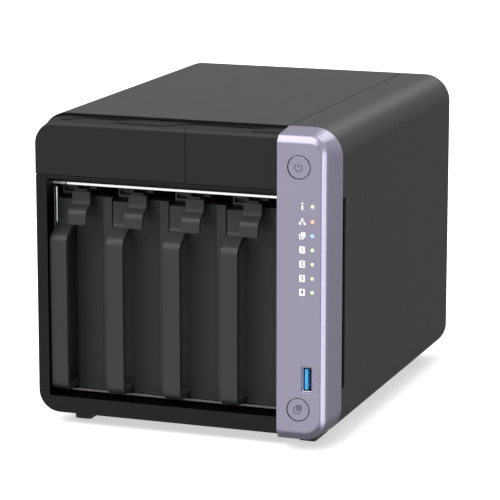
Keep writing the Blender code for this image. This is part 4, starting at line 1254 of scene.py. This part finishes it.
def build_dome(low, zenith, panels):
    """Soft surroundings that grow brighter overhead, with a few soft panels of light in them.

    A panel is (direction from the object, inner and outer angle in degrees, brightness).
    """
    world = bpy.data.worlds.new("studio")
    bpy.context.scene.world = world
    world.use_nodes = True
    background = world.node_tree.nodes["Background"]
    place = add_node(world, "ShaderNodeTexCoord").outputs["Generated"]
    axes = add_node(world, "ShaderNodeSeparateXYZ", [(place, "Vector")])
    total = add_node(world, "ShaderNodeMapRange", [(axes.outputs["Z"], "Value")],
                     To_Min=low, To_Max=zenith).outputs["Result"]
    for towards, inner, outer, brightness in panels:
        along = add_node(world, "ShaderNodeVectorMath", [(place, 0)], operation="DOT_PRODUCT")
        along.inputs[1].default_value = Vector(towards).normalized()
        spot = add_node(world, "ShaderNodeMapRange", [(along.outputs["Value"], "Value")],
                        interpolation_type="SMOOTHSTEP", From_Min=cos(radians(outer)),
                        From_Max=cos(radians(inner)), To_Max=brightness)
        both = add_node(world, "ShaderNodeMath", [(total, 0), (spot.outputs["Result"], 1)])
        total = both.outputs[0]
    world.node_tree.links.new(total, background.inputs["Strength"])
    background.inputs["Color"].default_value = (1.0, 1.0, 1.0, 1)


def build_studio():
    build_floor()
    build_dome(0.22, 0.6, [
        ((0.92, -0.33, -0.21), 7, 40, 2.9), ((-0.33, -0.92, -0.21), 14, 46, 0.72),
        ((1.0, 0.3, 0.3), 30, 60, 0.32),
    ])
    add_sun("key_light", (-0.33, -0.42, 0.85), 74, 3.05)
    add_sun("rim_light", (0.15, 0.79, 0.58), 28, 0.38)
    scene = bpy.context.scene
    scene.view_settings.view_transform = "Standard"
    scene.view_settings.look = "None"


def add_camera():
    data = bpy.data.cameras.new("camera")
    data.sensor_width = 36.0
    data.lens = 188.29
    data.shift_x, data.shift_y = 0.0003, -0.003
    data.clip_start, data.clip_end = 0.05, 50
    camera = bpy.data.objects.new("camera", data)
    bpy.context.scene.collection.objects.link(camera)
    camera.location = (0.49134, -1.35867, 0.38996)
    camera.rotation_euler = (radians(90 - 12.03), 0, radians(19.88))
    bpy.context.scene.camera = camera


add_camera()
build_cover("cover_left", -1, "left_cover")
build_cover("cover_right", 1, "right_cover")
build_bezel()
build_fascia("fascia_left", (-SIDE, FASCIA_SEAM_X - GAP / 2), "upper_fascia_left")
build_fascia("fascia_right", (FASCIA_SEAM_X + GAP / 2, BEZEL_RIGHT), "upper_fascia_right")
build_panel()
build_button("power_key_cap", POWER_Z, "power_key", "power_button")
build_button("copy_key_cap", COPY_Z, "copy_key", "copy_button")
build_icons()
build_symbols()
build_lights()
build_front_usb()
build_cage()
build_trays()
build_feet()
build_fan()
build_rotor()
build_guard()
for screw, place in THUMBSCREWS.items():
    build_thumbscrew(screw, *place)
for number, z in enumerate(LAN_Z, 1):
    build_lan(number, z)
build_rear_usb()
build_video_port()
build_inlet()
build_reset()
finish_cad_nodes()
build_studio()
